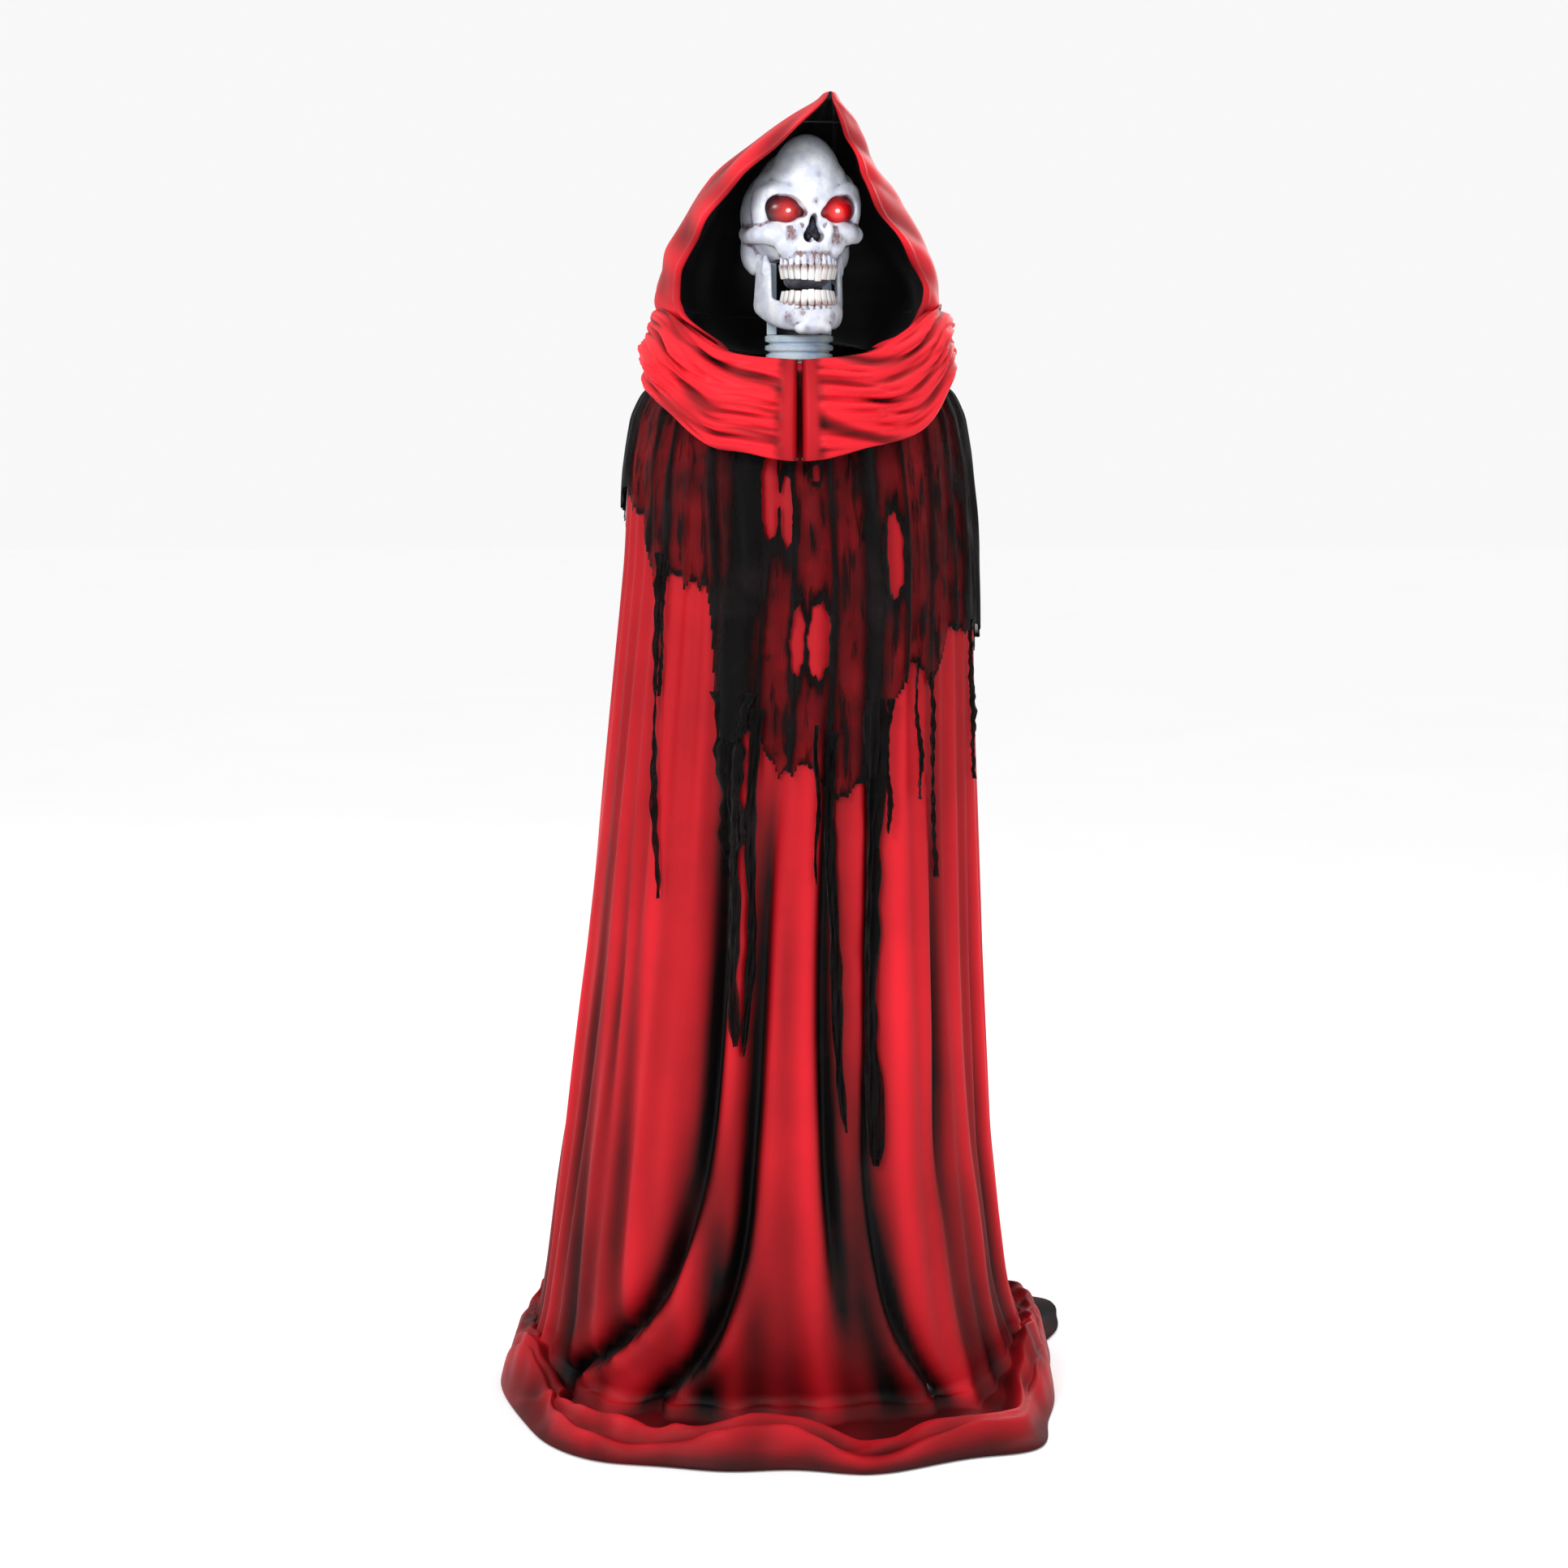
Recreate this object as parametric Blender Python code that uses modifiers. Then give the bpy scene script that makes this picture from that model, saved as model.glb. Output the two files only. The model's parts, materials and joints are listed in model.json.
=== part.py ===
"""Life-size hooded skeleton figure: a steel stand, a robe with hood and gauze, and a moving skull."""
import math

import bmesh
import bpy
from mathutils import Vector

# Driving dimensions, in metres. +Z is up, the figure faces -Y, +X is at the viewer's right.
HEIGHT = 1.68
FIT_GAP = 0.0005          # clearance between pieces that meet
CLOTH = 0.003             # thickness of the robe and hood
GAUZE = 0.0015            # thickness of the gauze
AXIS_X = 0.007            # neck and pole axis
HEAD_YAW = math.radians(14)
ROUND = 24                # steps of a turned piece

# The robe from hem to neck: height, centre, half width, front and back half depth.
ROBE_SECTIONS = (
    (0.000, -0.0150, 0.3600, 0.390, 0.315),
    (0.014, -0.0150, 0.3695, 0.400, 0.325),
    (0.040, -0.0165, 0.3550, 0.382, 0.308),
    (0.075, -0.0190, 0.3250, 0.292, 0.282),
    (0.150, -0.0230, 0.3060, 0.255, 0.256),
    (0.330, -0.0220, 0.2830, 0.236, 0.240),
    (0.580, -0.0125, 0.2600, 0.213, 0.215),
    (0.830, -0.0040, 0.2420, 0.193, 0.190),
    (1.095, 0.0060, 0.2240, 0.170, 0.170),
    (1.220, 0.0040, 0.2160, 0.155, 0.160),
    (1.290, 0.0050, 0.2030, 0.138, 0.145),
    (1.325, 0.0060, 0.1780, 0.120, 0.130),
    (1.340, 0.0070, 0.1350, 0.098, 0.105),
    (1.347, 0.0070, 0.0850, 0.078, 0.080),
)
ROBE_SIDES = 36

# The hood: height, centre, half width, centre and half depth, edge angles at left and right.
HOOD_SECTIONS = (
    (1.410, 0.0045, 0.1880, 0.015, 0.150, 46, 42),
    (1.452, 0.0050, 0.1815, 0.015, 0.158, 42, 40),
    (1.500, 0.0050, 0.1660, 0.014, 0.160, 40, 40),
    (1.554, 0.0030, 0.1300, 0.010, 0.152, 46, 44),
    (1.590, 0.0060, 0.1030, 0.000, 0.142, 56, 44),
    (1.622, 0.0190, 0.0760, -0.012, 0.127, 66, 50),
    (1.648, 0.0320, 0.0480, -0.030, 0.102, 72, 58),
    (1.668, 0.0420, 0.0220, -0.052, 0.075, 78, 70),
)
HOOD_SIDES = 16

# The cowl: angle from the front, height and half sizes of its lower and upper edge.
COWL_SECTIONS = (
    (2, 1.227, 0.212, 0.188, 1.352, 0.168, 0.152),
    (20, 1.238, 0.214, 0.188, 1.356, 0.172, 0.155),
    (42, 1.262, 0.216, 0.184, 1.368, 0.180, 0.158),
    (65, 1.310, 0.212, 0.176, 1.388, 0.186, 0.156),
    (88, 1.352, 0.205, 0.172, 1.407, 0.190, 0.155),
    (115, 1.335, 0.206, 0.178, 1.407, 0.190, 0.155),
    (145, 1.300, 0.212, 0.184, 1.407, 0.189, 0.154),
    (178, 1.280, 0.214, 0.188, 1.407, 0.188, 0.152),
)
COWL_BULGE = 0.012

# The gauze: angle round the figure (front is -90) and height of its torn hem.
GAUZE_HEM = ((-180, 1.17), (-150, 1.09), (-125, 1.03), (-105, 0.88), (-80, 0.83),
             (-60, 0.90), (-35, 0.98), (0, 1.00), (45, 0.98), (90, 0.95), (135, 1.02), (180, 1.17))
GAUZE_RINGS = (1.220, 1.290, 1.325)
GAUZE_LAYER = 0.0045
# Loose strips of gauze: angle round the figure, width, top and bottom height.
STRIPS = ((-108, 0.055, 0.86, 0.46), (-80, 0.014, 0.80, 0.34), (-67, 0.030, 0.86, 0.28),
          (-140, 0.012, 1.02, 0.67))
STRIP_LAYER = 0.006

# The train on the floor behind: angle round the figure and its reach beyond the hem.
TRAIN = ((16, 0.006), (28, 0.080), (36, 0.121), (44, 0.116), (54, 0.098), (66, 0.083), (76, 0.074),
         (90, 0.0705), (110, 0.045), (124, 0.006))
TRAIN_HEIGHT = 0.014

# The stand.
POLE_R = 0.0125
POLE_BORE_R = 0.0110
SWAGE_R = 0.0107
SWAGE = 0.060
POLE_JOINTS = (0.070, 0.480, 0.880, 1.262)
HUB_R = 0.032
HUB_TOP = 0.110
LEG_R = 0.0095
LEG_Z = 0.040
LEG_REACH = 0.235
CAP_R = 0.0135
YOKE_Z = 1.235
ARM_R = 0.008
ARM_Z = 1.296
ARM_REACH = 0.165

# The head turns on the neck spindle; the jaw turns on two pins.
FLANGE_Z = 1.300
GEAR_Z = 1.3095
GEAR_THICK = 0.006
MODULE = 0.001
NECK_TEETH = 48
PINION_TEETH = 12
COLLAR_Z = 1.381
SPINDLE_R = 0.006
BRACKET_Z = 1.4735
SKULL = Vector((0.0, 0.012, 1.545))
SKULL_SIZE = Vector((0.0755, 0.090, 0.086))
SKULL_WALL = 0.0035
SKULL_FLOOR = 1.498
SKULL_SPLIT = 0.030
EYE = Vector((0.0320, -0.0700, 1.5365))
EYE_R = 0.0195
JAW = Vector((0.0, 0.010, 1.487))
JAW_TEETH = 36
JAW_GEAR_X = 0.043
RAMUS_X = 0.049

# The control box behind the pole.
BOX_W = 0.092
BOX_H = 0.130
BOX_Z = 1.090
BOX_Y = 0.0135
BOX_DEPTH = 0.024
BOX_WALL = 0.0022
DOOR_W = 0.066
DOOR_H = 0.052
DOOR_Z = 1.038
CELL_R = 0.0071
CELL_L = 0.0505


def clear_scene():
    for item in list(bpy.data.objects):
        bpy.data.objects.remove(item, do_unlink=True)


def make_collection(name):
    group = bpy.data.collections.new(name)
    bpy.context.scene.collection.children.link(group)
    return group


def material(name, colour, roughness=0.6, metallic=0.0):
    mat = bpy.data.materials.get(name)
    if mat is None:
        mat = bpy.data.materials.new(name)
        mat.use_nodes = True
        shader = mat.node_tree.nodes["Principled BSDF"]
        shader.inputs["Base Color"].default_value = (*colour, 1)
        shader.inputs["Roughness"].default_value = roughness
        shader.inputs["Metallic"].default_value = metallic
    return mat


clear_scene()
FIGURE = make_collection("hooded_skeleton_figure")
CUTTERS = make_collection("cutters")

SATIN = material("red_satin", (0.55, 0.02, 0.03), 0.45)
BLACK_GAUZE = material("black_gauze", (0.01, 0.01, 0.01), 0.85)
BONE = material("bone_plastic", (0.72, 0.72, 0.76), 0.5)
NECK_PLASTIC = material("neck_plastic", (0.62, 0.70, 0.80), 0.35)
STEEL = material("steel_tube", (0.05, 0.05, 0.05), 0.4, 1.0)
ZINC = material("zinc_plate", (0.62, 0.62, 0.60), 0.35, 1.0)
RUBBER = material("black_rubber", (0.02, 0.02, 0.02), 0.85)
FOAM = material("grey_foam", (0.25, 0.25, 0.26), 0.9)
ABS = material("black_plastic", (0.03, 0.03, 0.03), 0.5)
NYLON = material("white_nylon", (0.80, 0.79, 0.74), 0.45)
RED_LENS = material("red_lens", (0.60, 0.01, 0.01), 0.15)
BOARD = material("green_board", (0.02, 0.18, 0.07), 0.5)
CELL = material("battery_sleeve", (0.55, 0.30, 0.05), 0.35, 0.4)


def add(name, data, mat, parent=None, location=(0, 0, 0), rotation=(0, 0, 0), cutter=False):
    item = bpy.data.objects.new(name, data)
    item.location = location
    item.rotation_euler = rotation
    item.parent = parent
    if cutter:
        CUTTERS.objects.link(item)
        item.display_type = "WIRE"
        item.hide_render = True
    else:
        FIGURE.objects.link(item)
        data.materials.append(mat)
    return item


def pivot(name, location, rotation=(0, 0, 0), parent=None):
    empty = bpy.data.objects.new(name, None)
    empty.location = location
    empty.rotation_euler = rotation
    empty.parent = parent
    FIGURE.objects.link(empty)
    return empty


def finish_mesh(name, bm, smooth=True):
    data = bpy.data.meshes.new(name)
    bm.to_mesh(data)
    bm.free()
    if smooth:
        data.shade_smooth()
        data.set_sharp_from_angle(angle=math.radians(35))
    return data


def box_mesh(name, size):
    bm = bmesh.new()
    bmesh.ops.create_cube(bm, size=1)
    bmesh.ops.scale(bm, vec=size, verts=bm.verts)
    return finish_mesh(name, bm, smooth=False)


def box(name, size, location, mat, bevel=0.0, **more):
    item = add(name, box_mesh(name, size), mat, location=location, **more)
    if bevel:
        edge = item.modifiers.new("rounded_edges", "BEVEL")
        edge.width = bevel
        edge.segments = 2
        edge.limit_method = "ANGLE"
    return item


def ball_mesh(name, radii, columns, rows):
    bm = bmesh.new()
    bmesh.ops.create_uvsphere(bm, u_segments=columns, v_segments=rows, radius=1)
    bmesh.ops.scale(bm, vec=radii, verts=bm.verts)
    return finish_mesh(name, bm)


def ball(name, radii, location, mat, columns=22, rows=12, **more):
    return add(name, ball_mesh(name, radii, columns, rows), mat, location=location, **more)


def rod(name, radius, length, location, mat, rotation=(0, 0, 0), sides=20, **more):
    bm = bmesh.new()
    bmesh.ops.create_cone(bm, cap_ends=True, segments=sides, radius1=radius, radius2=radius, depth=length)
    return add(name, finish_mesh(name, bm), mat, location=location, rotation=rotation, **more)


def turned(name, profile, mat, location=(0, 0, 0), rotation=(0, 0, 0), steps=ROUND, **more):
    """A (radius, height) profile turned about Z. It runs down its outer side, and closes unless it ends on Z."""
    bm = bmesh.new()
    points = [bm.verts.new((radius, 0, height)) for radius, height in profile]
    pairs = list(zip(points, points[1:]))
    if profile[0][0] > 0:
        pairs.append((points[-1], points[0]))
    for start, end in pairs:
        bm.edges.new((start, end))
    item = add(name, finish_mesh(name, bm, smooth=False), mat, location=location, rotation=rotation, **more)
    screw = item.modifiers.new("turn", "SCREW")
    screw.steps = steps
    screw.render_steps = steps
    screw.use_merge_vertices = True
    screw.merge_threshold = 0.00001
    return item


def tube(name, points, radius, mat, sides=2, **more):
    """A round wire or tube along a list of points."""
    curve = bpy.data.curves.new(name, "CURVE")
    curve.dimensions = "3D"
    curve.bevel_depth = radius
    curve.bevel_resolution = sides
    curve.use_fill_caps = True
    line = curve.splines.new("POLY")
    line.points.add(len(points) - 1)
    for spot, place in zip(line.points, points):
        spot.co = (*place, 1)
    return add(name, curve, mat, **more)


def plate(name, outlines, thickness, mat, **more):
    """A flat plate: the first outline is its edge and the others are holes."""
    curve = bpy.data.curves.new(name, "CURVE")
    curve.dimensions = "2D"
    curve.fill_mode = "BOTH"
    curve.extrude = thickness / 2
    for outline in outlines:
        line = curve.splines.new("POLY")
        line.points.add(len(outline) - 1)
        line.use_cyclic_u = True
        for spot, (x, y) in zip(line.points, outline):
            spot.co = (x, y, 0, 1)
    return add(name, curve, mat, **more)


def circle(radius, count=20, centre=(0, 0)):
    return [(centre[0] + radius * math.cos(math.tau * i / count),
             centre[1] + radius * math.sin(math.tau * i / count)) for i in range(count)]


def loft(name, rings, mat, thickness, around=True, outward=False, **more):
    """A sheet through rings of points, given a wall on its inner or outer side."""
    bm = bmesh.new()
    rows = [[bm.verts.new(place) for place in ring] for ring in rings]
    for low, high in zip(rows, rows[1:]):
        count = len(low)
        for i in range(count if around else count - 1):
            j = (i + 1) % count
            bm.faces.new((low[i], low[j], high[j], high[i]))
    item = add(name, finish_mesh(name, bm), mat, **more)
    wall = item.modifiers.new("wall", "SOLIDIFY")
    wall.thickness = thickness
    wall.offset = 1 if outward else -1
    wall.use_even_offset = True
    return item


def cut(item, cutter, operation="DIFFERENCE"):
    step = item.modifiers.new(operation.lower(), "BOOLEAN")
    step.operation = operation
    step.solver = "EXACT"
    step.object = cutter
    return item


def between(table, key):
    """The row of a table at a key in its first column, by straight interpolation."""
    rows = [row for row in table]
    if key <= rows[0][0]:
        return rows[0][1:]
    for low, high in zip(rows, rows[1:]):
        if key <= high[0]:
            share = (key - low[0]) / (high[0] - low[0])
            return tuple(a + (b - a) * share for a, b in zip(low[1:], high[1:]))
    return rows[-1][1:]


def robe_point(height, degrees, off=0.0):
    """A point of the robe's outer side, moved off it by a distance."""
    centre, half, front, back = between(ROBE_SECTIONS, height)
    angle = math.radians(degrees)
    depth = back if math.sin(angle) > 0 else front
    return ((centre + (half + off) * math.cos(angle)), (depth + off) * math.sin(angle), height)


# ---------------------------------------------------------------- stand

def gear_outline(teeth, first=0.0, span=360.0, hub=0.0):
    """A gear's outline, or a toothed sector closed by its hub."""
    pitch = MODULE * teeth / 2
    tip = pitch + 0.8 * MODULE
    root = pitch - 1.1 * MODULE
    step = 360.0 / teeth
    points = []
    for i in range(int(round(span / step))):
        middle = first + i * step
        for radius, share in ((root, -0.36), (tip, -0.14), (tip, 0.14), (root, 0.36)):
            angle = math.radians(middle + share * step)
            points.append((radius * math.cos(angle), radius * math.sin(angle)))
    if hub:
        last = math.radians(first + span)
        start = math.radians(first)
        turn = math.tau - (last - start)
        arc = [last + turn * i / 10 for i in range(11)]
        points += [(hub * math.cos(a), hub * math.sin(a)) for a in arc]
    return points


def build_base():
    socket = POLE_R + FIT_GAP
    floor = POLE_JOINTS[0] - FIT_GAP
    turned("base_hub", ((0, floor), (socket, floor), (socket, HUB_TOP), (0.018, HUB_TOP), (0.020, 0.062),
                        (HUB_R, 0.056), (HUB_R, 0.024), (0, 0.024)), STEEL, location=(AXIS_X, 0, 0))
    start = HUB_R + FIT_GAP
    cup = LEG_R + FIT_GAP
    for number in range(4):
        heading = math.radians(45 + 90 * number)
        foot = LEG_REACH
        route = ((start, 0, LEG_Z), (0.10, 0, LEG_Z), (foot - 0.018, 0, LEG_Z), (foot - 0.006, 0, LEG_Z - 0.004),
                 (foot, 0, LEG_Z - 0.014), (foot, 0, 0.004))
        arm = pivot(f"leg_{number + 1}_pivot", (AXIS_X, 0, 0), (0, 0, heading))
        tube(f"base_leg_{number + 1}", route, LEG_R, STEEL, sides=3, parent=arm)
        turned(f"foot_cap_{number + 1}", ((0, 0.0035), (cup, 0.0035), (cup, 0.020), (CAP_R - 0.002, 0.020),
                                          (CAP_R, 0.004), (CAP_R, 0), (0, 0)),
               RUBBER, parent=arm, location=(foot, 0, 0), steps=16)


def build_poles():
    for number, name in enumerate(("lower_pole", "middle_pole", "upper_pole")):
        low, high = POLE_JOINTS[number], POLE_JOINTS[number + 1]
        if number == 0:
            profile = ((POLE_R, high), (POLE_R, low), (POLE_BORE_R, low), (POLE_BORE_R, high))
        else:
            foot = low - SWAGE
            step = low + FIT_GAP
            bore = SWAGE_R - 0.0015
            profile = ((POLE_R, high), (POLE_R, step), (SWAGE_R, step), (SWAGE_R, foot), (bore, foot),
                       (bore, step + 0.004), (POLE_BORE_R, step + 0.008), (POLE_BORE_R, high))
        turned(name, profile, STEEL, location=(AXIS_X, 0, 0), steps=20)


def build_shoulders():
    yoke = turned("shoulder_yoke", ((0.020, 1.262), (0.020, YOKE_Z - 0.020), (POLE_R + FIT_GAP, YOKE_Z - 0.020),
                                    (POLE_R + FIT_GAP, 1.262)), STEEL, location=(AXIS_X, 0, 0))
    cut(yoke, rod("screw_hole", 0.0026, 0.020, (AXIS_X, -0.017, YOKE_Z), None, rotation=(math.pi / 2, 0, 0),
                  sides=12, cutter=True))
    turned("yoke_screw", ((0, 0.0300), (0.0060, 0.0300), (0.0070, 0.0290), (0.0070, 0.0215), (0.0060, 0.0205),
                          (0.0022, 0.0205), (0.0022, 0.0129), (0, 0.0129)), ZINC, steps=16,
           location=(AXIS_X, 0, YOKE_Z), rotation=(math.pi / 2, 0, 0))
    for side, word in ((-1, "left"), (1, "right")):
        rise = ((0.0225, 0, YOKE_Z), (0.045, 0, YOKE_Z), (0.065, 0, YOKE_Z + 0.010),
                (0.095, 0, ARM_Z - 0.010), (0.115, 0, ARM_Z), (ARM_REACH, 0, ARM_Z))
        route = [(side * x + (AXIS_X if i < 4 else AXIS_X), y, z) for i, (x, y, z) in enumerate(rise)]
        tube(f"shoulder_arm_{word}", route, ARM_R, STEEL, sides=3)
        hole = rod(f"pad_bore_{word}", ARM_R + FIT_GAP, 0.10, (AXIS_X + side * 0.145, 0, ARM_Z), None,
                   rotation=(0, math.pi / 2, 0), cutter=True)
        pad = ball(f"shoulder_pad_{word}", (0.030, 0.048, 0.022), (AXIS_X + side * 0.146, 0, ARM_Z), FOAM,
                   columns=14, rows=8)
        cut(pad, hole)


def hood_ring(section, inset=0.0):
    height, centre, half, middle, depth, left, right = section
    angles = [-right + (180 + left + right) * i / HOOD_SIDES for i in range(HOOD_SIDES + 1)]
    return [(centre + (half - inset) * math.cos(math.radians(a)),
             middle + (depth - inset) * math.sin(math.radians(a)), height) for a in angles]


def build_hood():
    rings = [hood_ring(section) for section in HOOD_SECTIONS]
    top = HOOD_SECTIONS[-1]
    ridge = [(0.046 + 0.1 * (x - top[1]), y, HEIGHT) for x, y, z in rings[-1]]
    rings.append(ridge)
    return loft("hood", rings, SATIN, CLOTH, around=False)


def build_hood_wire():
    right, left = [], []
    for section in HOOD_SECTIONS[:-1]:
        ring = hood_ring(section, inset=0.011)
        right.append((ring[3][0], ring[3][1], section[0]))
        left.append((ring[-4][0], ring[-4][1], section[0]))
    foot_r = (AXIS_X + 0.160, right[0][1], 1.352)
    foot_l = (AXIS_X - 0.160, left[0][1], 1.352)
    tube("hood_wire", [foot_r, *right, *reversed(left), foot_l], 0.002, STEEL, sides=2)


def build_cowl():
    for side, word in ((-1, "left"), (1, "right")):
        rings = []
        for degrees, low, low_x, low_y, high, high_x, high_y in COWL_SECTIONS:
            angle = math.radians(-90 + side * degrees)
            column = []
            for step in range(5):
                share = step / 4
                swell = COWL_BULGE * math.sin(math.pi * share)
                half = low_x + (high_x - low_x) * share + swell
                depth = low_y + (high_y - low_y) * share + swell
                column.append((AXIS_X + half * math.cos(angle), depth * math.sin(angle),
                               low + (high - low) * share))
            rings.append(column)
        if side > 0:
            rings = [list(reversed(column)) for column in rings]
        loft(f"cowl_{word}", rings, SATIN, CLOTH, around=False)


def build_robe():
    rings = [[robe_point(section[0], 360 * i / ROBE_SIDES) for i in range(ROBE_SIDES)]
             for section in ROBE_SECTIONS]
    loft("robe", rings, SATIN, CLOTH)


def build_gauze():
    angles = [360 * i / ROBE_SIDES for i in range(ROBE_SIDES)]
    hems = [between(GAUZE_HEM, degrees if degrees <= 180 else degrees - 360)[0] for degrees in angles]
    rings = []
    for share in (0, 0.5):
        heights = [hem + (GAUZE_RINGS[0] - hem) * share for hem in hems]
        rings.append([robe_point(height, degrees, GAUZE_LAYER) for height, degrees in zip(heights, angles)])
    for height in GAUZE_RINGS:
        rings.append([robe_point(height, degrees, GAUZE_LAYER) for degrees in angles])
    loft("gauze_shawl", rings, BLACK_GAUZE, GAUZE, outward=True)
    for number, (degrees, width, top, bottom) in enumerate(STRIPS):
        rings = []
        for step in range(7):
            height = bottom + (top - bottom) * step / 6
            half_turn = math.degrees(width / 2 / 0.22)
            rings.append([robe_point(height, degrees + turn, STRIP_LAYER + GAUZE + 0.003)
                          for turn in (-half_turn, 0, half_turn)])
        loft(f"gauze_strip_{number + 1}", rings, BLACK_GAUZE, GAUZE, around=False, outward=True)


def build_train():
    """A low tongue of cloth round the back of the hem, as rings of a closed section."""
    hem = ROBE_SECTIONS[1]
    bm = bmesh.new()
    rows = []
    for degrees in range(TRAIN[0][0], TRAIN[-1][0] + 1, 4):
        reach = between(TRAIN, degrees)[0]
        angle = math.radians(degrees)
        ray = Vector((math.cos(angle), math.sin(angle), 0))
        inner = Vector((hem[1], 0, 0)) + Vector((ray.x * (hem[2] + 0.004), ray.y * (hem[4] + 0.004), 0))
        outer = inner + ray * reach
        up = Vector((0, 0, TRAIN_HEIGHT))
        rows.append([bm.verts.new(place) for place in (inner, outer, outer + up * 0.6, inner + up)])
    for low, high in zip(rows, rows[1:]):
        for i in range(4):
            j = (i + 1) % 4
            bm.faces.new((low[i], high[i], high[j], low[j]))
    bm.faces.new(rows[0])
    bm.faces.new(reversed(rows[-1]))
    bmesh.ops.recalc_face_normals(bm, faces=bm.faces)
    add("train", finish_mesh("train", bm), SATIN)


# ---------------------------------------------------------------- neck and skull

def build_neck():
    axis = (AXIS_X, 0, 0)
    plug = POLE_BORE_R - FIT_GAP
    seat = POLE_JOINTS[-1] + FIT_GAP
    base = turned("neck_base", ((0, 1.370), (SPINDLE_R, 1.370), (SPINDLE_R, FLANGE_Z + 0.004),
                                (0.040, FLANGE_Z + 0.004), (0.040, FLANGE_Z), (0.0165, FLANGE_Z),
                                (0.0165, seat), (plug, seat), (plug, 1.225), (0, 1.225)), ABS, location=axis)
    spacing = MODULE * (NECK_TEETH + PINION_TEETH) / 2
    cut(base, rod("shaft_hole", 0.0026, 0.02, (AXIS_X, spacing, FLANGE_Z), None, cutter=True))
    rod("neck_motor", 0.0120, 0.036, (AXIS_X, spacing, FLANGE_Z - 0.0005 - 0.018), ZINC)
    half_tooth = 180 / PINION_TEETH
    pinion = plate("neck_pinion", [gear_outline(PINION_TEETH, first=-90 + half_tooth)], GEAR_THICK, NYLON,
                   location=(AXIS_X, spacing, GEAR_Z))
    stem = rod("pinion_stem", 0.0020, 0.0095, (AXIS_X, spacing, 1.3055), None, cutter=True)
    as_mesh(pinion, stem)
    head = pivot("head_pivot", (AXIS_X, 0, 0), (0, 0, HEAD_YAW))
    gear_turn = 90 - math.degrees(HEAD_YAW)
    plate("neck_ring_gear", [gear_outline(NECK_TEETH, first=gear_turn),
                             circle(SPINDLE_R + FIT_GAP)], GEAR_THICK, NYLON, parent=head, location=(0, 0, GEAR_Z))
    ring = 0.0440
    core = 0.0385
    top = COLLAR_Z
    profile = [(0, 1.374), (0.034, 1.374), (0.036, top), (ring - 0.003, top), (ring, top - 0.002), (ring, top - 0.008), (core, top - 0.010),
               (core, top - 0.012), (ring, top - 0.014), (ring, top - 0.019), (core, top - 0.021),
               (core, top - 0.023), (ring - 0.001, top - 0.025), (ring - 0.001, top - 0.030),
               (core - 0.002, top - 0.034), (0.0340, 1.3135), (0.0310, 1.3135), (0.0310, 1.366),
               (0.0100, 1.366), (0.0100, 1.3130), (SPINDLE_R + FIT_GAP, 1.3130),
               (SPINDLE_R + FIT_GAP, 1.3705), (0, 1.3705)]
    turned("neck_collar", profile, NECK_PLASTIC, parent=head)
    return head


def as_mesh(item, partner):
    """Turns a flat curve piece into a mesh and joins a second solid to it."""
    depsgraph = bpy.context.evaluated_depsgraph_get()
    data = bpy.data.meshes.new_from_object(item.evaluated_get(depsgraph))
    bm = bmesh.new()
    bm.from_mesh(data)
    bmesh.ops.remove_doubles(bm, verts=bm.verts, dist=0.000005)
    bm.to_mesh(data)
    bm.free()
    name, mat, parent = item.name, item.data.materials[0], item.parent
    place, turn = item.location.copy(), item.rotation_euler.copy()
    bpy.data.objects.remove(item)
    data.materials.clear()
    joined = add(name, data, mat, parent=parent, location=place, rotation=turn)
    cut(joined, partner, "UNION")
    return joined


def build_straps(head):
    low = COLLAR_Z + FIT_GAP
    high = BRACKET_Z - FIT_GAP
    for side, word in ((-1, "left"), (1, "right")):
        box(f"neck_strap_{word}", (0.0125, 0.003, high - low), (side * 0.0365, 0, (low + high) / 2),
            NECK_PLASTIC, bevel=0.0006, parent=head)
    outline = ((-0.039, 0), (0.039, 0), (0.039, 0.0235), (0.036, 0.0235), (0.036, 0.003), (-0.036, 0.003),
               (-0.036, 0.0235), (-0.039, 0.0235))
    plate("jaw_bracket", [outline], 0.028, ZINC, parent=head, location=(0, 0.010, BRACKET_Z),
          rotation=(math.pi / 2, 0, 0))
    for side, word in ((-1, "left"), (1, "right")):
        rod(f"jaw_pin_{word}", 0.0018, 0.0155, (side * 0.0475, JAW.y, JAW.z), ZINC,
            rotation=(0, math.pi / 2, 0), sides=12, parent=head)
    rod("jaw_motor", 0.0110, 0.040, (0.0155, JAW.y, JAW.z + 0.024), ZINC, rotation=(0, math.pi / 2, 0),
        parent=head)


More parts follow.
